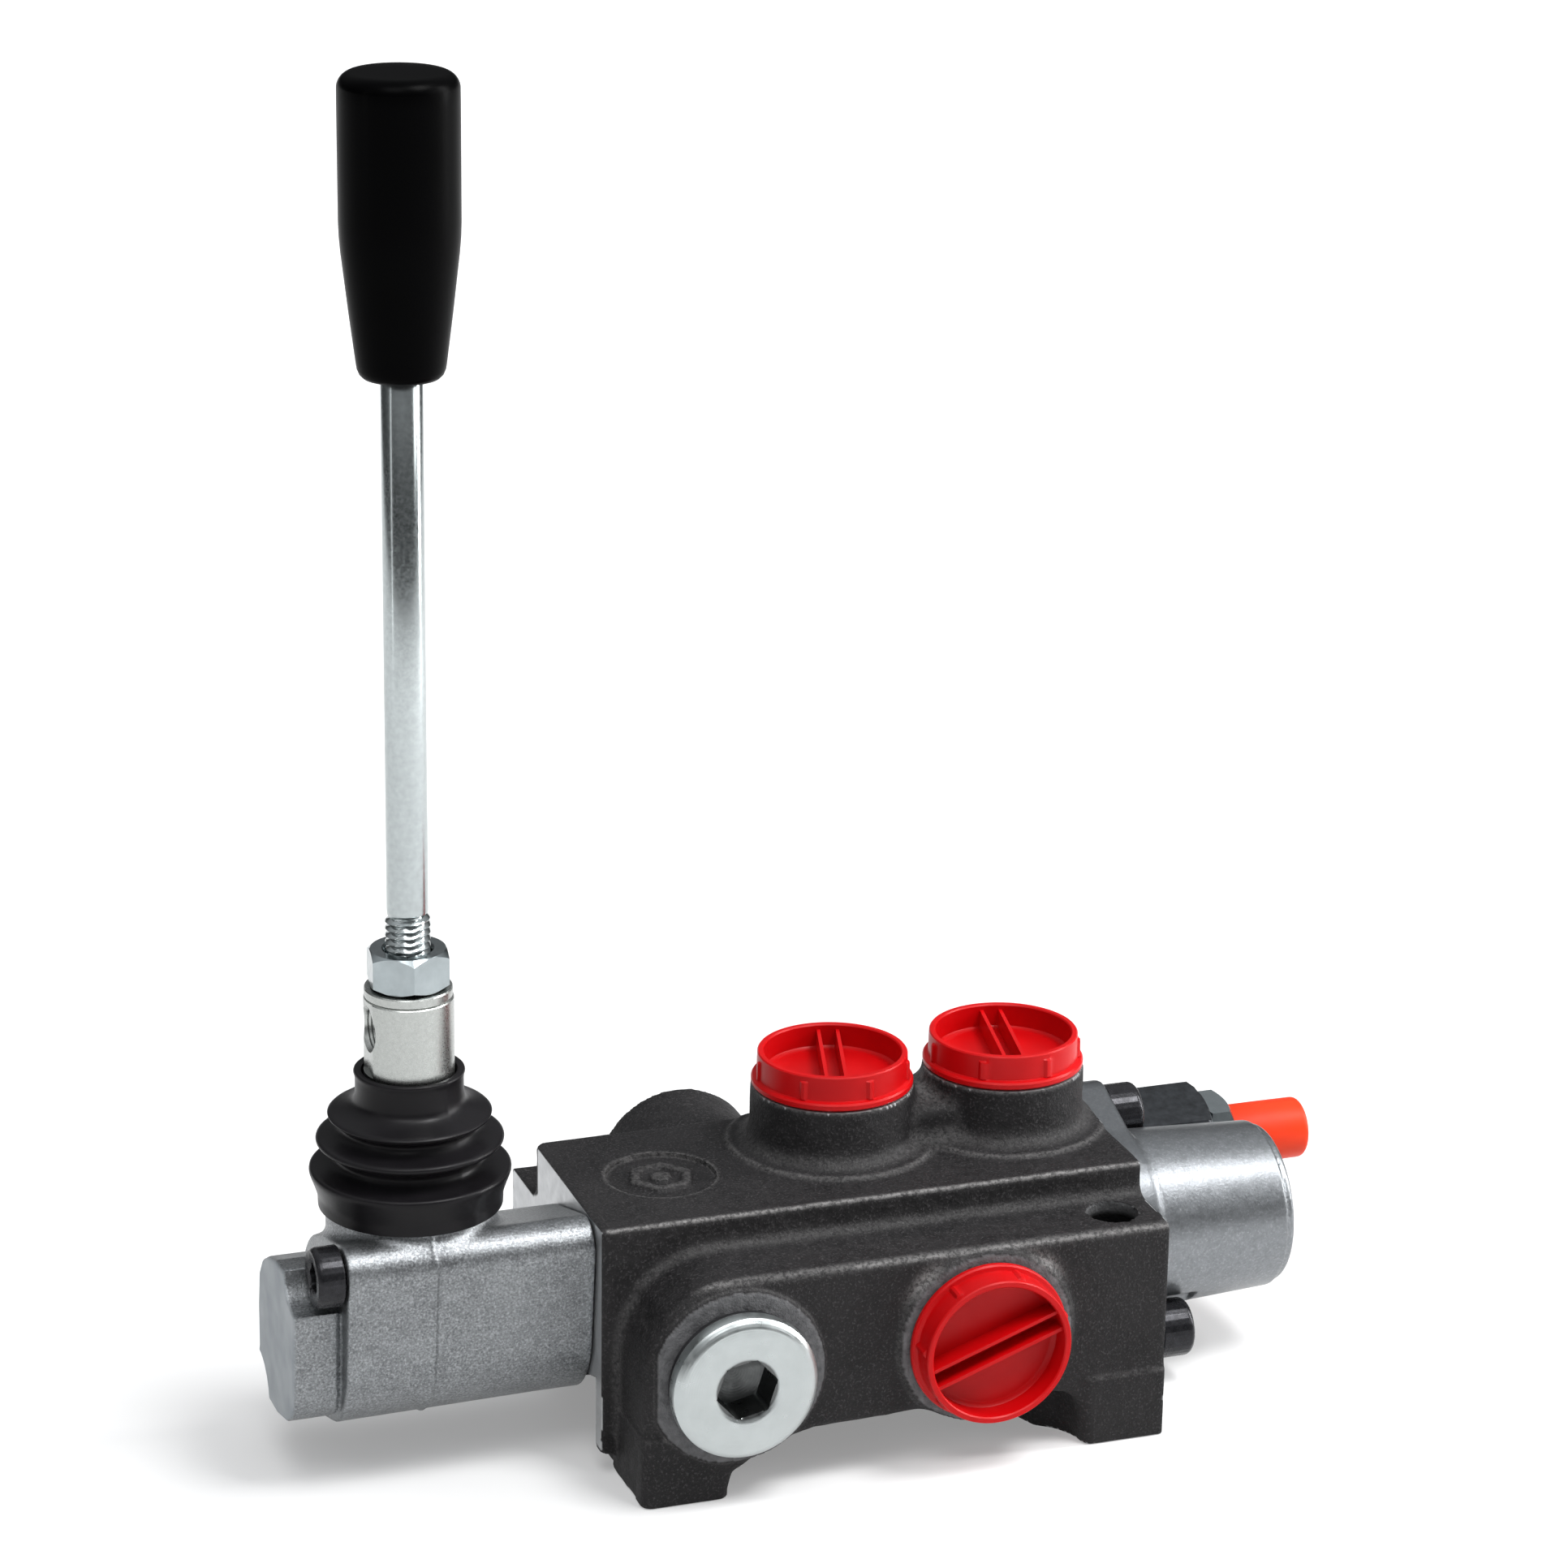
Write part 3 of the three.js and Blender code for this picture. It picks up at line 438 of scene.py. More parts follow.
def prism(pts, axis, t0, t1):
    pts = np.array(pts, float)
    k = len(pts)
    place = frame_of(axis, 0, 0)
    v = np.concatenate([place(pts[:, 0], pts[:, 1], np.full(k, t0)), place(pts[:, 0], pts[:, 1], np.full(k, t1))])
    f = [tuple(range(k)), tuple(range(2 * k - 1, k - 1, -1))] + [(i, (i + 1) % k, k + (i + 1) % k, k + i) for i in range(k)]
    return v, f


def hexpts(a, b, af, turn=0.0):
    return [(a + af / math.sqrt(3) * math.cos(math.radians(turn + 60 * k)), b + af / math.sqrt(3) * math.sin(math.radians(turn + 60 * k))) for k in range(6)]


# ------------------------------------------------------------ distance fields
def sd_poly(px, py, pts):
    pts = np.asarray(pts, float)
    d = None
    s = None
    k = len(pts)
    for i in range(k):
        a, b = pts[i], pts[i - 1]
        ex, ey = b[0] - a[0], b[1] - a[1]
        wx, wy = px - a[0], py - a[1]
        t = np.clip((wx * ex + wy * ey) / (ex * ex + ey * ey + 1e-12), 0, 1)
        q = (wx - ex * t) ** 2 + (wy - ey * t) ** 2
        d = q if d is None else np.minimum(d, q)
        c1, c2, c3 = py >= a[1], py < b[1], ex * wy > ey * wx
        flip = (c1 & c2 & c3) | (~c1 & ~c2 & ~c3)
        s = np.where(flip, -1.0, 1.0) if s is None else np.where(flip, -s, s)
    return s * np.sqrt(d)


def ext(d2, t, t0, t1, r=0.0):
    w = np.abs(t - (t0 + t1) / 2) - (t1 - t0) / 2
    if r <= 0:
        return np.maximum(d2, w)
    a, b = d2 + r, w + r
    return np.minimum(np.maximum(a, b), 0) + np.sqrt(np.maximum(a, 0) ** 2 + np.maximum(b, 0) ** 2) - r


def smin(a, b, k):
    h = np.maximum(k - np.abs(a - b), 0) / k
    return np.minimum(a, b) - h * h * k * 0.25


def disc(p, q, c, r):
    return np.sqrt((p - c[0]) ** 2 + (q - c[1]) ** 2) - r


def rect(p, q, a0, a1, b0, b1, r=0.0):
    u = np.abs(p - (a0 + a1) / 2) - (a1 - a0) / 2 + r
    v = np.abs(q - (b0 + b1) / 2) - (b1 - b0) / 2 + r
    return np.minimum(np.maximum(u, v), 0) + np.sqrt(np.maximum(u, 0) ** 2 + np.maximum(v, 0) ** 2) - r


def hull(circles, n=48):
    th = angles(n)
    pts = np.concatenate([np.stack([c[0] + c[2] * np.cos(th), c[1] + c[2] * np.sin(th)], 1) for c in circles])
    pts = pts[np.lexsort((pts[:, 1], pts[:, 0]))]

    def half(seq):
        h = []
        for q in seq:
            while len(h) > 1 and (h[-1][0] - h[-2][0]) * (q[1] - h[-2][1]) - (h[-1][1] - h[-2][1]) * (q[0] - h[-2][0]) <= 1e-7:
                h.pop()
            h.append(q)
        return h[:-1]
    return np.array(half(pts) + half(pts[::-1]))


def noise_grid(xs, ys, zs, cell, seed):
    rng = np.random.RandomState(seed)
    mats = []
    for a in (xs, ys, zs):
        g = (a - a[0]) / cell
        i = np.floor(g).astype(int)
        t = g - i
        s = t * t * (3 - 2 * t)
        w = np.zeros((len(a), i.max() + 2), np.float32)
        w[np.arange(len(a)), i] = 1 - s
        w[np.arange(len(a)), i + 1] = s
        mats.append(w)
    lat = rng.uniform(-1, 1, (mats[0].shape[1], mats[1].shape[1], mats[2].shape[1])).astype(np.float32)
    out = np.tensordot(mats[0], lat, (1, 0))
    out = np.moveaxis(np.tensordot(mats[1], out, (1, 1)), 0, 1)
    return np.moveaxis(np.tensordot(mats[2], out, (1, 2)), 0, 2)


def field_piece(name, cast, cuts, lo, hi, cell, material, body, node, waves=(), masks=None, angle=40, wear_depth=0.9):
    ax = [lo[i] + cell * np.arange(int(math.ceil((hi[i] - lo[i]) / cell)) + 1) for i in range(3)]
    X, Y, Z = ax[0][:, None, None], ax[1][None, :, None], ax[2][None, None, :]
    d = np.broadcast_to(cast(X, Y, Z), [len(a) for a in ax]).astype(np.float32)
    for i, (size, amp) in enumerate(waves):
        d = d + amp * noise_grid(*ax, size, 11 + i)
    c = np.broadcast_to(cuts(X, Y, Z), d.shape).astype(np.float32)
    d = np.clip(np.maximum(d, -c), -3 * cell, 3 * cell)
    grid = openvdb.FloatGrid(3 * cell)
    grid.copyFromArray(np.ascontiguousarray(d))
    pts, tris, quads = grid.convertToPolygons(isovalue=0.0, adaptivity=0.0)
    v = pts.astype(float) * cell + np.array(lo)
    me = bpy.data.meshes.new(name)
    faces = [tuple(q) for q in quads.tolist()] + [tuple(q) for q in tris.tolist()]
    me.from_pydata(((v + SHIFT) / 1000.0).tolist(), [], faces)
    # outward faces
    q = quads[: min(len(quads), 400000)]
    a, b, cc, dd = v[q[:, 0]], v[q[:, 1]], v[q[:, 2]], v[q[:, 3]]
    vol = np.einsum("ij,ij->i", a, np.cross(b, cc)).sum() + np.einsum("ij,ij->i", a, np.cross(cc, dd)).sum()
    if vol < 0:
        me.flip_normals()
    x, y, z = v[:, 0], v[:, 1], v[:, 2]
    cd, cu = cast(x, y, z), cuts(x, y, z)
    cut_here = ((np.abs(cu) < 0.30 * cell + 0.08) & (cd < -0.25)).astype(np.float32)
    e = 0.25
    g = np.stack([cast(x + e, y, z) - cast(x - e, y, z), cast(x, y + e, z) - cast(x, y - e, z), cast(x, y, z + e) - cast(x, y, z - e)], 1)
    g /= np.linalg.norm(g, axis=1)[:, None] + 1e-9
    p = v - g * wear_depth
    convex = np.clip((cast(p[:, 0], p[:, 1], p[:, 2]) - cd + wear_depth) / wear_depth, 0, 1)
    extra = masks(x, y, z, cut_here, convex) if masks else {"mach": cut_here}
    for key, val in extra.items():
        at = me.attributes.new(key, "FLOAT", "POINT")
        at.data.foreach_set("value", np.broadcast_to(val, x.shape).astype(np.float32).copy())
    return attach(name, me, material, body, node, angle)


# ------------------------------------------------------------- valve casting
FRONT = [(4.3, -60), (22.5, -60), (22.7, -55.5), (24.2, -51.9), (26.8, -50.4), (31, -47.8), (36, -45.6), (42, -44.2),
         (67, -43.6), (96, -43.6), (99.6, -44.4), (101.8, -46.0), (102.9, -48.6), (103.6, -52), (105, -60),
         (123.4, -60), (123.4, -7.3), (24.3, -7.3)] \
    + [(24.3 + 21.7 * math.cos(math.radians(a)), -29 + 21.7 * math.sin(math.radians(a))) for a in range(100, 136, 7)] \
    + [(24.3 + 20.8 * math.cos(math.radians(a)), -29 + 20.8 * math.sin(math.radians(a))) for a in range(142, 166, 8)] + [(4.0, -29)]
TOP = [(-1, 0), (123.4, 0), (123.4, 50), (2.8, 50)] + [(2.8 - 2.8 * math.sin(math.radians(a)), 47.2 + 2.8 * math.cos(math.radians(a))) for a in range(15, 90, 15)] + [(0, 47.2), (-1, 47.0)]
REAR = [(-1, 46), (-1, 66.5), (62, 66.5), (70, 74.5), (123.4, 74.5), (123.4, 46)]
RFOOT = [(105, -16.7), (103.4, -11.8), (100.8, -7.9), (97, -4.8), (94.8, 1), (94, 14), (123.4, 14), (123.4, -16.7)]


def body_cast(X, Y, Z):
    d = ext(sd_poly(X, Y, TOP) + 0 * Z, Z, -46, 0, 0.9)
    front = ext(sd_poly(X, Z, FRONT), Y, -16.7, 12, 2.0)
    d = smin(d, front, 4.0)
    # recess behind the lever box
    gone = ext(sd_poly(Y, Z, [(4.2, -35.5), (20, -40.8), (33, -45.6), (33, -70), (4.2, -70)]), X, -3, 14, 1.0)
    d = np.maximum(d, -gone)
    d = smin(d, ext(sd_poly(X, Z, [(-1, -38), (-1, -50.5), (0.6, -51.8), (3.6, -52.6), (7.5, -57.2), (9, -57.2), (9, -38)]), Y, 0.2, 4.2, 0.8), 1.2)
    d = smin(d, ext(rect(X, Y, 4.5, 22.5, -16.7, 12, 1.5), Z, -60, -42, 0.0), 2.0)
    d = smin(d, ext(sd_poly(X, Y, RFOOT), Z, -60, -42, 0.0), 2.5)
    d = smin(d, ext(sd_poly(X, Y, REAR), Z, -48, -12.5, 1.5), 3.0)
    d = smin(d, ext(rect(X, Y, 4, 22, 50, 66.0, 1.5), Z, -60, -44, 0), 2.5)
    d = smin(d, ext(rect(X, Y, 101, 125, 55, 74.0, 1.5), Z, -60, -44, 0), 2.5)
    d = smin(d, ext(disc(Y, Z, LEFT_SCREWS[1], 8.0), X, -1, 20, 0.8), 1.5)
    d = smin(d, ext(disc(X, Z, INLET, 18.5), Y, 40, 76, 0.4), 4.0)
    # work port bosses on a low shared pad
    pad = np.minimum(ext(disc(X, Y, PORTS[0], 23.0), Z, -6, 0.9, 0.5), ext(disc(X, Y, PORTS[1], 23.0), Z, -6, 0.9, 0.5))
    pad = np.maximum(pad, rect(X, Y, 20, 140, 0.9, 49.6, 1.0))
    d = smin(d, pad, 1.0)
    b = None
    for p in PORTS:
        q = ext(disc(X, Y, p, 17.9) + 0.02 * (Z - 6), Z, -8, 14.6, 0.0)
        b = q if b is None else smin(b, q, 7.0)
    saddle = ext(rect(X, Y, 76, 89, 22, 42, 4.0), Z, -4, 8.4, 2.0)
    b = smin(b, saddle, 5.0)
    b = np.maximum(b, Y - 50.2)
    d = smin(d, b, 5.0)
    d = smin(d, ext(disc(X, Z, TANK, 19.3), Y, -18.8, 0, 0.0), 2.6)
    d = smin(d, np.maximum(ext(disc(X, Z, PLUG, 19.5), Y, -18.8, 0, 0.0), 6.4 - X), 1.2)
    return d


CHAMBERS = [(20.8, 27.8), (44, 51), (58.9, 65.9), (78.5, 85.5), (98.9, 105.9), (112, 116.5)]


def body_cuts(X, Y, Z):
    """Distance to what machining removes."""
    c = np.minimum(X, 122.4 - X)
    c = np.minimum(c, Z - SOLE)
    c = np.minimum(c, np.minimum(PORT_FACE - Z, 75.2 - Y))
    c = np.minimum(c, Y - SPOT_Y)
    c = np.minimum(c, ext(disc(X, Y, (21, 25), 11.9), Z, -1.1, 3, 0.0))
    keep = ext(np.abs(sd_poly(X, Y, hexpts(21, 25, 11.0, 12))) - 1.15, Z, -2, -0.15, 0.0)
    keep = np.minimum(keep, ext(disc(X, Y, (21, 25), 2.4), Z, -2, -0.15, 0.0))
    c = np.where((Z < 3) & (Z > -2) & (disc(X, Y, (21, 25), 11.5) < 0), np.maximum(c, -keep), c)
    bore = disc(Y, Z, SPOOL, 8.0)
    wide = disc(Y, Z, SPOOL, 12.0)
    c = np.minimum(c, ext(bore, X, -4, 126))
    c = np.minimum(c, np.minimum(ext(wide, X, -4, 5.0), ext(wide, X, 117.4, 126)))
    for a, b in CHAMBERS:
        c = np.minimum(c, ext(wide - 0.4, X, a, b))
    for p in PORTS:
        c = np.minimum(c, np.minimum(ext(disc(X, Y, p, 12.4), Z, -1, 20), ext(disc(X, Y, p, 7.0), Z, -20, 0)))
    for p, r in ((TANK, 12.4), (PLUG, 13.2)):
        c = np.minimum(c, np.minimum(ext(disc(X, Z, p, r), Y, -30, -1.5), ext(disc(X, Z, p, 7.0), Y, -5, 15)))
    c = np.minimum(c, np.minimum(ext(disc(X, Z, INLET, 12.4), Y, 57, 90), ext(disc(X, Z, INLET, 7), Y, 55, 60)))
    c = np.minimum(c, np.minimum(ext(disc(Y, Z, RELIEF, 5.5), X, 48, 96), ext(disc(Y, Z, RELIEF, 11.3), X, 95, 130)))
    c = np.minimum(c, ext(disc(Y, Z, RELIEF, 13.5), X, 120.2, 130))
    c = np.minimum(c, np.minimum(ext(disc(X, Y, CHECK, 8.3), Z, -60, -31), ext(disc(X, Y, CHECK, 4.6), Z, -32, -24)))
    c = np.minimum(c, ext(disc(X, Y, (112.8, -7.4), 5.5), Z, -60, 5))
    c = np.minimum(c, ext(disc(X, Y, (12, 58), 5.5), Z, -60, 5))
    c = np.minimum(c, ext(disc(X, Y, (13.5, -3), 3.6), Z, -60, -46))
    for y, z in LEFT_SCREWS:
        c = np.minimum(c, ext(disc(Y, Z, (y, z), 4.15), X, -3, 17))
    c = np.minimum(c, ext(disc(Y, Z, RIGHT_SCREWS[0], 4.15), X, 112, 126))
    c = np.minimum(c, ext(disc(Y, Z, RIGHT_SCREWS[1], 4.15), X, 104, 126))
    return c


def gauss(d, w):
    return np.exp(-(d / w) ** 2)


def body_masks(x, y, z, cut_here, convex):
    mach = cut_here.copy()
    holes = (np.hypot(x - 112.8, y + 7.4) < 5.8) | (np.hypot(x - 12, y - 58) < 5.8)
    mach[holes] *= 0.15
    em = (np.hypot(x - 21, y - 25) < 12.6) & (z > -2)
    mach[em] = 0
    ring = np.zeros_like(mach)
    front = (y < -17.0)
    ring[front] = mach[front]
    mach[front] = 0
    # lighter edges: wear on convex edges, plus lines along the top-front edge and the ledge edges that are partly wear
    # and partly painted highlight
    wear = np.clip((convex - 0.16) * 2.2, 0, 1) * 0.22
    wear = np.maximum(wear, gauss(np.hypot(y - 0.25, z + 0.2), 0.5) * 0.50 * (x > 1))
    wear = np.maximum(wear, gauss(np.hypot(y + 16.3, z + 7.8), 0.6) * 0.46 * (x > 50))
    wear = np.maximum(wear, gauss(np.hypot(y + 15.6, z + 8.2), 0.8) * 0.35)
    # painted highlight on the upper shoulders of the tank boss
    r = np.hypot(x - TANK[0], z - TANK[1])
    th = np.degrees(np.arctan2(z - TANK[1], x - TANK[0]))
    sh = gauss(r - 20.6, 1.6) * (gauss(th - 48, 13) + gauss(th - 134, 13)) * (y < -14.5)
    wear = np.maximum(wear, sh * 0.45)
    # painted highlight along the edge fillets of the port pads, and a lighter line round each port boss's top rim
    for p in PORTS:
        rr = np.hypot(x - p[0], y - p[1])
        pad = gauss(np.hypot(rr - 22.8, (z - 0.8) * 0.7), 0.5) * (x < 122)
        other = PORTS[1] if p is PORTS[0] else PORTS[0]
        wear = np.maximum(wear, pad * 0.16 * (np.hypot(x - other[0], y - other[1]) > 23.2))
        wear = np.maximum(wear, gauss(np.hypot(rr - 17.7, z - 13.5), 0.45) * 0.22)
    # painted highlight on the emblem's ring edge and its raised face
    wear = np.maximum(wear, em * gauss(np.hypot(x - 21, y - 25) - 12.1, 0.5) * 0.16)
    wear = np.maximum(wear, em * (z > -0.42) * (np.hypot(x - 21, y - 25) < 11.2) * 0.10)
    wear[mach > 0.5] = 0
    # painted shade: the two mounting holes darken towards their bottoms
    dark = np.where(np.hypot(x - 112.8, y + 7.4) < 5.65, np.clip((-9.0 - z) / 1.0, 0, 1), 0.0)
    dark = np.maximum(dark, np.where(np.hypot(x - 12, y - 58) < 5.65, np.clip((-13.4 - z) / 1.0, 0, 1), 0.0))
    dark[z < SOLE + 3] = 0
    return {"mach": mach, "ring": ring, "wear": wear, "dark": dark}


field_piece("casting", body_cast, body_cuts, (-1.6, -19.6, -59), (124, 77, 16), 0.55, M["cast"], "root_body", "valve_body",
            waves=((5.0, 0.10), (2.0, 0.06)), masks=body_masks)

# ----------------------------------------------------------------- lever box
BOXHULL = hull([(SPOOL[0], SPOOL[1], 19.6), (9.4, -6.4, 6.1), (40.6, -44.0, 6.1)])
NOSE = [(8.4, -11), (9.2, -25), (10.2, -33.9), (11.4, -37.2), (13.3, -39.3), (17.6, -41.6), (24.8, -43.2), (44, -43.6),
        (40.4, -34), (40.4, -25.4), (39.2, -17.1), (36, -12.9), (31.6, -10.4), (24.4, -8.2), (17.2, -7.6), (9, -7.6)]


def box_cast(X, Y, Z):
    # casting draft: the underside drops a little towards the nose
    Z = np.where(Z < SPOOL[1], SPOOL[1] + (Z - SPOOL[1]) / (1 + 0.045 * np.clip((-10 - X) / 44, 0, 1.1)), Z)
    d = ext(sd_poly(Y, Z, BOXHULL), X, -54.0, 1.0, 0.9)
    d = smin(d, ext(disc(X, Y, LEVER, 18.0), Z, -22, 7.4, 0.8), 2.6)
    nose = ext(sd_poly(Y, Z, NOSE), X, -64.3, -50, 0.9)
    for (y, z), r in zip(LEFT_SCREWS, (8.2, 8.4)):
        nose = np.maximum(nose, -ext(disc(Y, Z, (y, z), r), X, -70, -54.0, 0.0))
    d = np.where(X < -48, smin(d, nose, 0.9), d)
    d = d - 0.40 * np.exp(-((X + 35) / 0.45) ** 2)
    return d + 0.42 * np.exp(-((X + 54.1) / 0.5) ** 2)


def box_cuts(X, Y, Z):
    c = -0.3 - X
    c = np.minimum(c, ext(disc(Y, Z, SPOOL, 10.5), X, -59.5, 3))
    c = np.minimum(c, ext(rect(X, Y, LEVER[0] - 14.5, LEVER[0] + 14.5, 15, 35, 1.5), Z, -26, 12))
    for y, z in LEFT_SCREWS:
        c = np.minimum(c, ext(disc(Y, Z, (y, z), 4.15), X, -70, 3))
    # blind pin seats, open at the top
    c = np.minimum(c, ext(disc(X, Z, (LEVER[0], PIVOT_Z), 3.8), Y, 8.7, 41.3))
    c = np.minimum(c, ext(rect(X, Y, LEVER[0] - 3.8, LEVER[0] + 3.8, 8.7, 41.3, 0.4), Z, PIVOT_Z, 12))
    return c


def box_masks(x, y, z, cut_here, convex):
    mach = cut_here.copy()
    mach = np.maximum(mach, np.clip((-63.7 - x) / 0.5, 0, 1))
    return {"mach": mach}


field_piece("lever_housing", box_cast, box_cuts, (-65.4, 2, -52.8), (0.6, 48, 9), 0.40, M["alu"], "root_body", "lever_box",
            waves=((4.0, 0.018),), masks=box_masks)

# ---------------------------------------------------------------- spring cap
CAPHULL = hull([(SPOOL[0], SPOOL[1], 20.2), (41.1, -6.1, 7.7), (9.0, -45.2, 7.7)])


def cap_cast(X, Y, Z):
    d = ext(sd_poly(Y, Z, CAPHULL), X, 121, 130.7, 0.7)
    r = np.sqrt((Y - SPOOL[0]) ** 2 + (Z - SPOOL[1]) ** 2)
    taper = 20.2 - (X - 130.7) * 1.5 / 30.3
    barrel = ext(r - taper, X, 124, 161.9, 0.5)
    barrel = np.minimum(barrel, ext(r - 17.9, X, 150, 164.0, 1.4))
    return smin(d, barrel, 1.6)


def cap_cuts(X, Y, Z):
    c = X - 122.7
    c = np.minimum(c, ext(disc(Y, Z, SPOOL, 15.0), X, 118, 160))
    for y, z in RIGHT_SCREWS:
        c = np.minimum(c, ext(disc(Y, Z, (y, z), 4.15), X, 118, 140))
        c = np.minimum(c, ext(disc(Y, Z, (y, z), 7.4), X, 130.7, 142))
    return c


field_piece("spring_housing", cap_cast, cap_cuts, (121.6, 0, -54), (165.2, 50, 3), 0.42, M["barrel"], "root_body", "spring_cap",
            waves=(), masks=None)


# -------------------------------------------------------------------- screws
def cap_screw(name, y, z, seat, head, tip, node):
    s = 1 if head > seat else -1
    n = 96
    th = angles(n)
    knurl = 6.5 - 0.10 * (0.5 + 0.5 * np.cos(th * 32))
    hx = hexr(6.0, th, 0)
    rings = [(0, tip), (3.1, tip), (3.8, tip + s * 0.8), (3.8, seat - s * 0.3), (3.95, seat), (6.2, seat), (6.45, seat + s * 0.25),
             (knurl, seat + s * 0.7), (knurl, head - s * 1.3), (6.45, head - s * 0.9), (6.2, head - s * 0.35), (5.8, head), (4.1, head),
             (np.maximum(hx, 3.2), head - s * 0.45), (hx, head - s * 0.6), (hx, head - s * 3.8), (2.6, head - s * 4.0), (0, head - s * 4.9)]
    v, f = loft(rings, "x", y, z, n)
    return finish(name, v, f, M["oxide"], "root_body", node, 28)


seat = -54.3
cap_screw("box_screw_front", *LEFT_SCREWS[0], seat, seat - 5.7, 15.5, "lever_box_screw_front")
cap_screw("box_screw_rear", *LEFT_SCREWS[1], seat, seat - 5.7, 15.5, "lever_box_screw_rear")
cap_screw("cap_screw_upper", *RIGHT_SCREWS[0], 131.0, 138.6, 113, "spring_cap_screw_upper")
cap_screw("cap_screw_lower", *RIGHT_SCREWS[1], 131.0, 138.6, 105, "spring_cap_screw_lower")

# ---------------------------------------------------------------------- boot
outer = [(19.5, 1.5), (19.55, 2.6), (19.6, 3.8), (19.9, 5.0), (20.5, 6.8), (21.1, 8.4), (21.3, 9.3), (20.9, 10.0), (19.0, 10.25), (16.9, 10.7), (15.7, 11.5), (15.4, 12.5),
         (16.0, 13.6), (17.8, 14.7), (19.4, 15.5), (19.8, 16.2), (19.3, 16.8), (17.3, 17.2), (15.5, 17.8), (14.5, 18.9), (14.7, 19.9), (16.2, 20.8), (17.2, 21.6), (17.0, 22.2),
         (15.4, 22.7), (13.6, 23.4), (12.3, 24.2), (11.75, 24.9), (11.5, 25.8), (11.4, 28.0), (11.45, 30.2), (11.7, 31.1), (11.4, 31.6), (10.7, 31.6)]
inner = [(10.1, 31.4), (9.95, 30.0), (9.95, 27.0), (10.5, 25.4), (12.4, 23.4), (15.5, 21.9), (13.9, 20.4), (13.2, 19.0), (14.2, 17.0), (17.9, 16.1), (15.2, 14.2), (14.3, 12.5), (15.3, 10.4),
         (19.4, 9.1), (18.6, 7.4), (18.35, 5.0), (18.35, 1.5)]
prof = np.concatenate([smooth_curve(outer, 0.45), smooth_curve(inner, 0.8)])
# a faint mould line runs up both sides
seam = np.exp(-((((np.degrees(angles(144)) + 62) % 180 + 90) % 180 - 90) / 1.6) ** 2)
k_out = len(smooth_curve(outer, 0.45))
v, f = loft([(r + 0.14 * seam if i < k_out else r, t) for i, (r, t) in enumerate(prof)], "z", *LEVER, 144, closed=True)
boot = finish("gaiter", v, f, M["boot"], None, None, 50)
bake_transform(boot)
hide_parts("lever_boot")

# ------------------------------------------------------------- hub, nut, rod
prof = [(0, -29.4)] + [(4.2 * math.cos(math.radians(a)), -25.2 + 4.2 * math.sin(math.radians(a))) for a in range(-75, 60, 15)]
prof += [(3.2, -20), (3.6, -14), (5.2, -9), (8.6, -5), (9.3, -3), (9.5, 29), (9.5, 47.6), (9.3, 47.85), (9.0, 47.95), (9.25, 48.2), (9.3, 49.8), (9.1, 50.1), (0, 50.1)]
hub = loft(prof, "z", *LEVER, 72)
hub = boolean(hub, boxmesh(LEVER[0] - 14, LEVER[0] - 8.75, 12, 38, 31.5, 47.8))
tip = [(0, -14), (5.1, -14), (5.1, -8.9), (4.5, -8.2), (4.3, -7.8), (4.55, -7.4), (4.3, -7.0), (4.55, -6.6), (4.3, -6.2), (4.5, -5.8), (0, -5.0)]
screw_hole = loft(tip, "x", 25.0, 41.2, 48)
hub = boolean(hub, (screw_hole[0] + np.array([LEVER[0], 0, 0]), screw_hole[1]))
hub = boolean(hub, loft([(0, 33), (5.0, 33), (5.0, 53.5), (0, 53.5)], "z", *LEVER, 40))
hub = boolean(hub, loft([(0, 0), (3.8, 0), (3.8, 50), (0, 50)], "y", LEVER[0], PIVOT_Z, 32))
finish("lever_socket", *hub, M["hub"], "lever_body", "lever_hub", 25)

nut = boolean(prism(hexpts(*LEVER, 16.0, 263), "z", 50.4, 58.4),
              loft([(0, 50.3), (7.9, 50.3), (8.45, 50.8), (9.35, 51.4), (9.35, 57.0), (7.8, 58.45), (0, 58.45)], "z", *LEVER, 96), "INTERSECT")
nut = boolean(nut, loft([(0, 42), (5.0, 42), (5.0, 57.7), (5.7, 58.7), (0, 58.7)], "z", *LEVER, 64))
finish("jam_nut", *nut, M["zinc"], "lever_body", "lever_lock_nut", 22)

rings = [(0, 33.5), (3.8, 33.5), (4.3, 34.2)] + threads(4.85, 1.5, 0.8, 34.5, 66.1) + [(4.25, 66.4), (4.3, 66.9), (4.3, 100), (4.3, 184), (3.7, 184.6), (3.7, 205), (0, 205)]
finish("lever_stem", *loft(rings, "z", *LEVER, 48), M["rod"], "lever_body", "lever_rod", 50)

kp = [(0, 241.5), (4, 241.5), (7.5, 241.42)] + arcpts(8.8, 237.9, 3.4, 84, 8, 10) + [(12.2, 235.5), (12.2, 228), (12.2, 218), (12.2, 211.5), (12.1, 208.5), (11.85, 205.5), (10.4, 193), (9.15, 183.2), (8.95, 181.8), (8.5, 180.7), (7.8, 180.0), (6.9, 179.9), (5.4, 179.9), (4.7, 180.6), (4.6, 184), (4.6, 207), (0, 207)]
finish("lever_grip", *loft(kp, "z", *LEVER, 96), M["knob"], "lever_body", "lever_knob", 40)

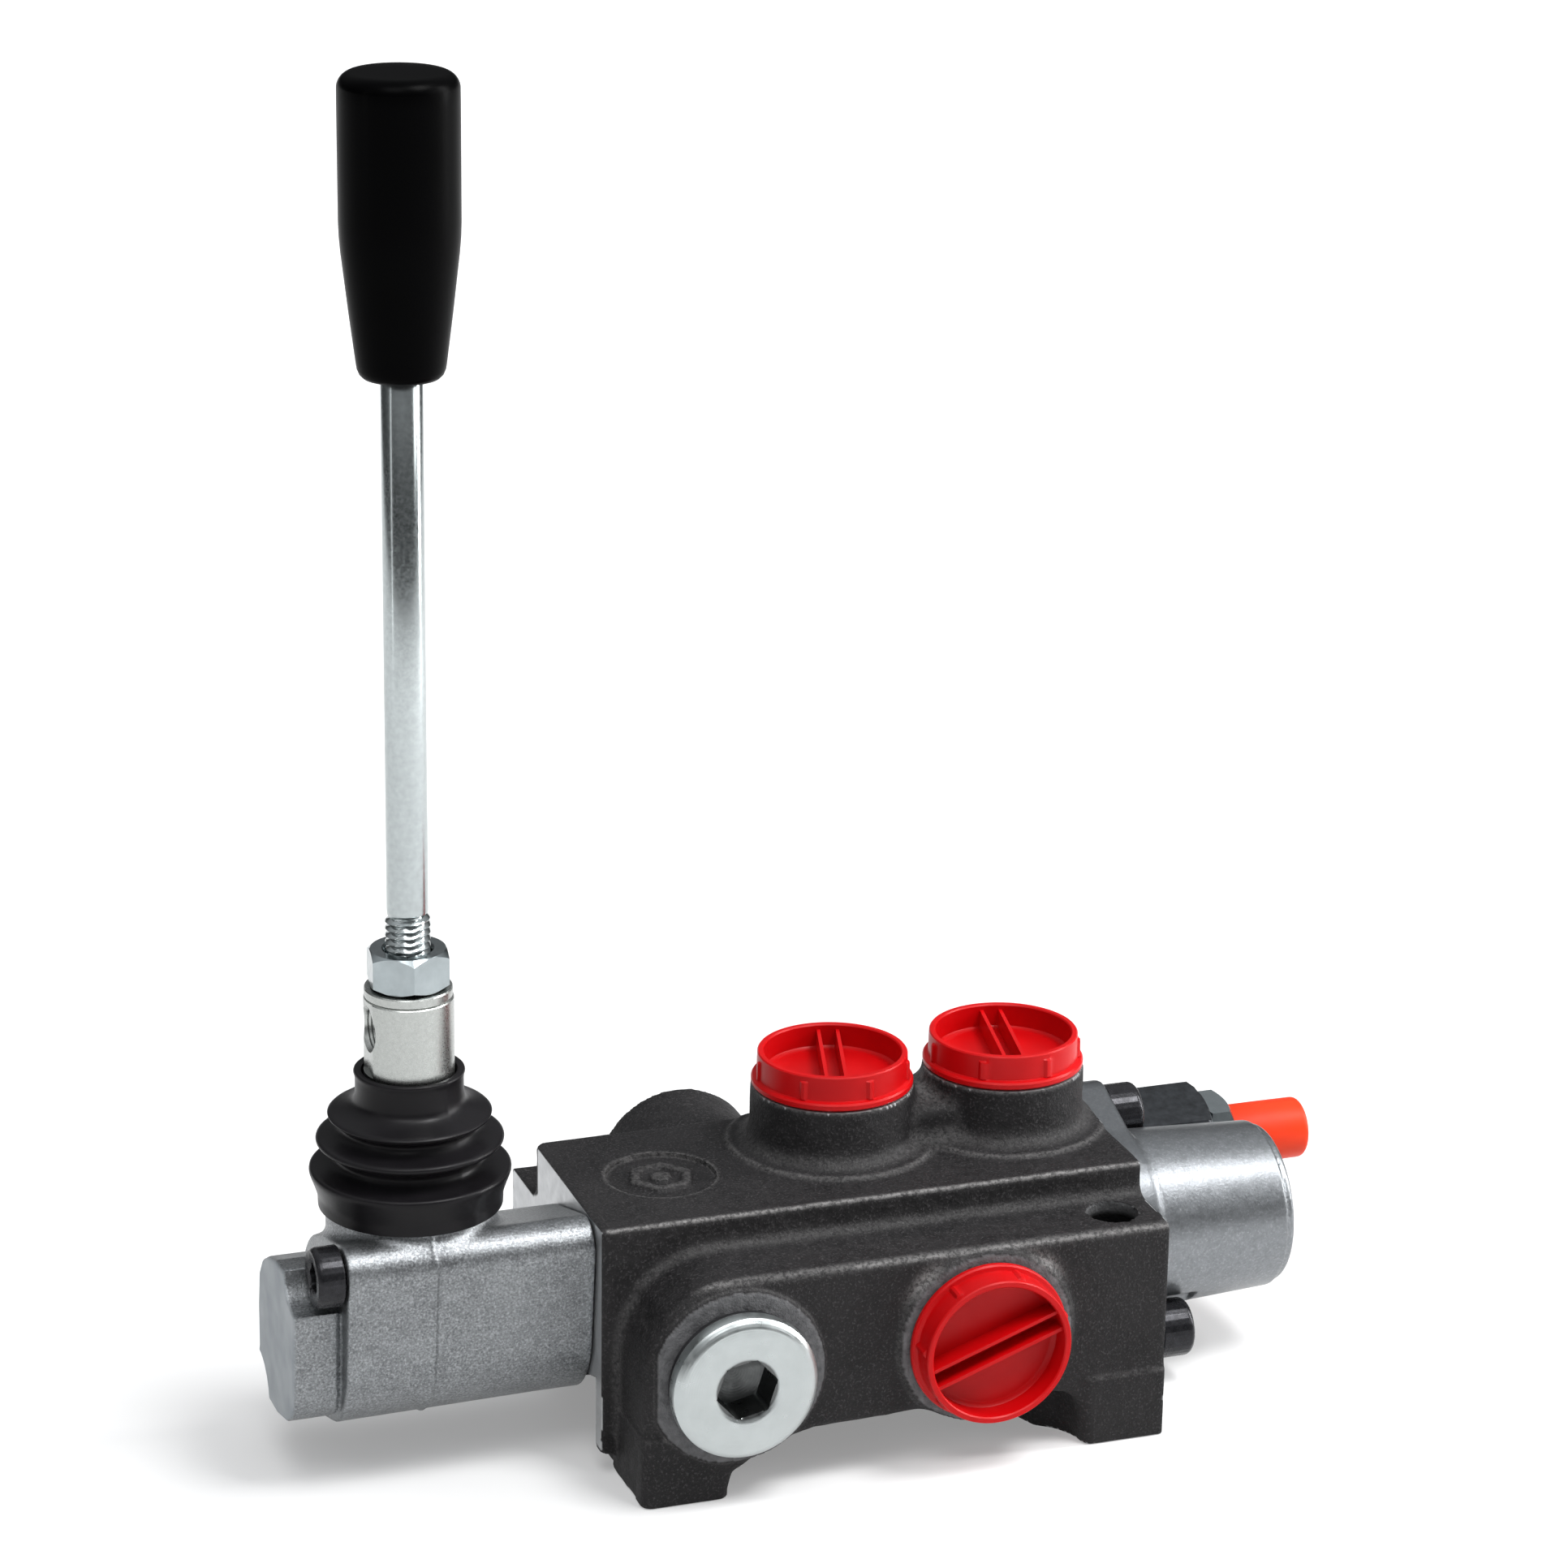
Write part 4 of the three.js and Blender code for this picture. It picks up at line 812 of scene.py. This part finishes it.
# ---------------------------------------------------------- plug and its seal
sealp = [(13.3, SPOT_Y - 0.3), (15.3, SPOT_Y - 0.3), (15.6, SPOT_Y - 0.6), (15.6, SPOT_Y - 1.4), (15.3, SPOT_Y - 1.7), (13.3, SPOT_Y - 1.7)]
finish("plug_washer", *loft(sealp, "y", *PLUG, 72, closed=True), M["seal"], "root_body", "carry_over_seal")
back = SPOT_Y - 2.0
face = back - 4.4
n = 96
hx = hexr(12.0, angles(n), 12)
pr = [(0, -4), (12.0, -4), (12.8, -4.8), (12.8, back), (15.6, back), (16.0, back - 0.4), (16.0, face + 1.9), (15.85, face + 1.35), (15.1, face + 0.6), (14.3, face + 0.12), (13.9, face), (7.7, face), (7.4, face + 0.08),
      (np.maximum(hx, 6.95), face + 0.3), (np.maximum(hx, 6.6), face + 0.42), (hx, face + 0.6), (hx, face + 8.4), (4.9, face + 8.8), (0, face + 10.4)]
finish("gallery_plug", *loft(pr, "y", *PLUG, n), M["plug"], "root_body", "carry_over_plug", 24)


# ------------------------------------------------------------- transit caps
def transit_cap(name, node, turn, place):
    n = 168
    th = angles(n)
    tabs = np.zeros(n)
    for k in range(7):
        d = np.abs((np.degrees(th) - 90 - turn - k * 360 / 7 + 180) % 360 - 180)
        tabs = np.maximum(tabs, np.clip(1 - np.maximum(d - 1.8, 0) / 1.2, 0, 1))
    low = 0.55 * tabs
    rings = [(0, 0.6), (10.6, 0.6), (10.6, -8.4), (12.0, -8.4), (12.0, 0.3), (17.4, 0.3), (17.7, 0.6), (17.7, 1.5), (17.4, 1.9), (16.75, 2.05),
             (16.5 + low, 2.2), (16.45 + low, 5.6), (16.42 + low * 0.9, 6.1), (16.40, 6.35), (16.38, 7.3), (16.15, 7.6), (15.2, 7.6), (14.95, 7.3), (14.9, 2.6), (14.4, 2.1), (13.6, 1.95), (0, 1.95)]
    m = loft(rings, "z", 0, 0, n)
    a = math.radians(turn)
    for s in (-2.1, 2.1):
        b = boxmesh(s - 0.55, s + 0.55, -15.1, 15.1, 1.6, 6.4)
        v = b[0].copy()
        v[v[:, 2] > 5, 0] = s + (v[v[:, 2] > 5, 0] - s) * 0.72
        c, si = math.cos(a), math.sin(a)
        v = np.stack([v[:, 0] * c - v[:, 1] * si, v[:, 0] * si + v[:, 1] * c, v[:, 2]], 1)
        m = boolean(m, (v, b[1]), "UNION")
    v = place(m[0])
    return finish(name, v, m[1], M["red"], "root_body", node, 35)


transit_cap("transit_cap_a", "port_cap_a", -16, lambda v: v + np.array([PORTS[0][0], PORTS[0][1], PORT_FACE]))
transit_cap("transit_cap_b", "port_cap_b", -11, lambda v: v + np.array([PORTS[1][0], PORTS[1][1], PORT_FACE]))
transit_cap("transit_cap_tank", "port_cap_tank", -70, lambda v: np.stack([TANK[0] + v[:, 0], SPOT_Y - v[:, 2], TANK[1] + v[:, 1]], 1))
Yb = 75.2
pr = [(0, Yb - 8), (11.9, Yb - 8), (11.9, Yb + 0.3), (15.1, Yb + 0.3), (15.4, Yb + 0.6), (15.4, Yb + 2.4), (15.1, Yb + 3.1), (14.4, Yb + 3.5), (10, Yb + 3.5), (9.4, Yb + 3.0), (0, Yb + 2.9)]
finish("transit_cap_inlet", *loft(pr, "y", *INLET, 72), M["red"], "root_body", "port_cap_inlet", 35)

# ------------------------------------------------------------- relief valve
n = 120
th = angles(n)
hx = hexr(24.0, th, 78)
rings = [(0, 97), (9.8, 97)] + threads(10.6, 1.5, 0.7, 97.6, 119.6, n) + [(9.9, 119.8), (9.9, 120.6), (10.6, 120.8), (10.6, 122.7), (13.3, 122.7), (13.6, 123.0), (13.6, 125.8), (13.2, 126.3), (11.5, 126.5), (11.3, 127), (11.3, 137.9)]
rings += [(np.minimum(hx, 12.2), 137.9), (np.minimum(hx, 13.3), 138.4), (np.minimum(hx, 13.85), 139.0), (np.minimum(hx, 13.85), 161.4), (np.minimum(hx, 12.9), 162.5), (np.minimum(hx, 12.0), 163.1), (6.9, 163.1), (6.6, 162.8), (6.6, 101.5), (3.0, 101.5), (3.0, 97.0)]
v, f = loft(rings[1:], "x", *RELIEF, n, closed=True)
finish("relief_housing", v, f, M["hexdark"], "root_body", "relief_sleeve", 24)
ln = boolean(prism(hexpts(*RELIEF, 19, 66), "x", 163.4, 169.6), loft([(0, 163.3), (9.6, 163.3), (11.0, 164.2), (11.0, 168.5), (9.4, 169.65), (0, 169.65)], "x", *RELIEF, 96), "INTERSECT")
ln = boolean(ln, loft([(0, 160), (6.05, 160), (6.05, 172), (0, 172)], "x", *RELIEF, 64))
finish("relief_jam_nut", *ln, M["zinc"], "root_body", "relief_lock_nut", 22)
rings = [(0, 136.6), (3.0, 136.6), (3.0, 140), (6.2, 140), (6.2, 143.4), (5.7, 144)] + threads(5.7, 1.25, 0.6, 144.2, 170.6) + [(5.2, 171.2), (5.2, 186), (0, 186)]
finish("relief_stem", *loft(rings, "x", *RELIEF, 48), M["steel"], "root_body", "relief_adjusting_screw", 45)
e = 189.1
pr = [(6.05, 170.0), (6.9, 170.0), (7.1, 170.3), (7.1, 180), (7.05, e - 1.6)] + arcpts(5.75, e - 1.3, 1.3, 15, 90, 6) + [(0, e)]
v, f = loft([(0, 186.6), (5.55, 186.6), (5.55, 171.2), (6.05, 170.6)] + pr, "x", *RELIEF, 72)
finish("tamper_cap", v, f, M["orange"], "root_body", "relief_cap", 35)


# ------------------------------------------------------------------- springs
def spring(name, radius, wire, turns, t0, t1, axis, a, b, body, other, moving, fixed, node):
    k, n = int(turns * 48), 14
    place = frame_of(axis, a, b)
    verts, faces = [], []
    for i in range(k + 1):
        s = i / k
        th = 2 * math.pi * turns * s
        t = (t0 + wire) + (t1 - t0 - 2 * wire) * s
        for j in range(n):
            ph = 2 * math.pi * j / n
            r = radius + wire * math.cos(ph)
            verts.append(place(np.array(r * math.cos(th)), np.array(r * math.sin(th)), np.array(t + wire * math.sin(ph))))
    for i in range(k):
        for j in range(n):
            q = (j + 1) % n
            faces.append((i * n + j, i * n + q, (i + 1) * n + q, (i + 1) * n + j))
    faces.append(tuple(range(n)))
    faces.append(tuple(range(k * n, k * n + n)))
    o = finish(name, np.array([np.asarray(v).reshape(3) for v in verts]), faces, M["steel"], None, None, 40)
    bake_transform(o)
    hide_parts(node)
    return o


spring("centring_coil", 10.4, 1.4, 3.5, 133.85, 156.65, "x", *SPOOL, "root_body", "spool_body", P(133.85, *SPOOL), P(156.65, *SPOOL), "centering_spring")
spring("relief_coil", 4.7, 1.1, 6, 110.35, 139.7, "x", *RELIEF, "root_body", "relief_poppet_body", P(110.35, *RELIEF), P(139.7, *RELIEF), "relief_spring")
spring("check_coil", 4.6, 0.6, 3, -44.25, -38.9, "z", *CHECK, "root_body", "check_poppet_body", P(*CHECK, -38.9), P(*CHECK, -44.25), "check_spring")

# -------------------------------------------------- CAD pieces that stay shown
for node, key in {
    "lever_pivot_pin": "steel", "spool": "steel", "spool_seal_left": "seal", "spool_seal_right": "seal", "spring_seat_inner": "steel",
    "spring_seat_outer": "steel", "spool_tail_bolt": "oxide", "relief_seal_ring": "seal", "relief_poppet": "steel", "check_poppet": "steel", "check_plug": "oxide",
}.items():
    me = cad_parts[node].data
    me.materials.clear()
    me.materials.append(M[key])

# ----------------------------------------------------------- floor and lights
floor = bpy.data.meshes.new("floor")
floor.from_pydata([(-45, -45, 0), (45, -45, 0), (45, 45, 0), (-45, 45, 0)], [], [(0, 1, 2, 3)])
fm = Mat("floor")
fm.set(Base_Color=fm.mix(fm.ramp(fm.noise(400, 2), 0.3, 0.7), (0.57, 0.57, 0.57), (0.60, 0.60, 0.60)), Roughness=0.85)
fm.b.inputs["Specular IOR Level"].default_value = 0.05
far = fm.n("ShaderNodeVectorMath", operation="LENGTH")
fm.put(far.inputs[0], fm.co)
fm.set(Emission_Color=(1.0, 1.0, 1.0), Emission_Strength=fm.ramp(far.outputs["Value"], 0.25, 1.1, 0.27, 0.80))
floor.materials.append(fm.m)
fo = bpy.data.objects.new("floor", floor)
bpy.context.scene.collection.objects.link(fo)

world = bpy.data.worlds.new("studio")
bpy.context.scene.world = world
world.use_nodes = True
wt = world.node_tree
wc = wt.nodes.new("ShaderNodeTexCoord")
wx = wt.nodes.new("ShaderNodeSeparateXYZ")
wr = wt.nodes.new("ShaderNodeMapRange")
wr.inputs[1].default_value, wr.inputs[2].default_value = 0.22, 0.85
wr.inputs[3].default_value, wr.inputs[4].default_value = 0.07, 0.80
wt.links.new(wc.outputs["Generated"], wx.inputs[0])
wt.links.new(wx.outputs["Z"], wr.inputs[0])
wt.links.new(wr.outputs[0], wt.nodes["Background"].inputs[1])
wt.nodes["Background"].inputs[0].default_value = (0.96, 0.98, 1, 1)


def area(name, loc, target, size, power, sy=None):
    li = bpy.data.lights.new(name, "AREA")
    li.shape = "RECTANGLE"
    li.size, li.size_y, li.energy = size, sy or size, power
    o = bpy.data.objects.new(name, li)
    o.location = loc
    o.rotation_euler = (Vector(target) - Vector(loc)).to_track_quat("-Z", "Y").to_euler()
    bpy.context.scene.collection.objects.link(o)


area("key", (-0.45, -0.75, 1.5), (0, 0, 0.05), 0.7, 8.0)
area("top", (0.44, -0.49, 1.36), (0, 0, 0.05), 0.50, 17.0)
area("fill", (1.3, -0.8, 0.8), (0, 0, 0.06), 0.5, 3.0)
area("strip_left", (-1.1, -0.2, 0.5), (-0.08, 0, 0.15), 0.08, 0.5, 0.9)
area("strip_right", (1.0, -0.15, 0.55), (-0.08, 0, 0.18), 0.14, 11.0, 0.9)

cam = bpy.data.cameras.new("camera")
cam.lens = 6000.0 / 1932.0 * 36.0
cam.sensor_width = 36.0
cam.clip_start, cam.clip_end = 0.02, 50
co = bpy.data.objects.new("camera", cam)
right, up, fwd = (Vector(v) for v in ((0.9430612, -0.3322968, 0.014646), (0.0945775, 0.3101064, 0.9459858), (0.3188899, 0.8907373, -0.3238771)))
m = Matrix((right, up, -fwd)).transposed().to_4x4()
m.translation = Vector((-0.3420332, -0.9160819, 0.4756513))
co.matrix_world = m
bpy.context.scene.collection.objects.link(co)
bpy.context.scene.camera = co
bpy.context.scene.view_settings.view_transform = "Standard"
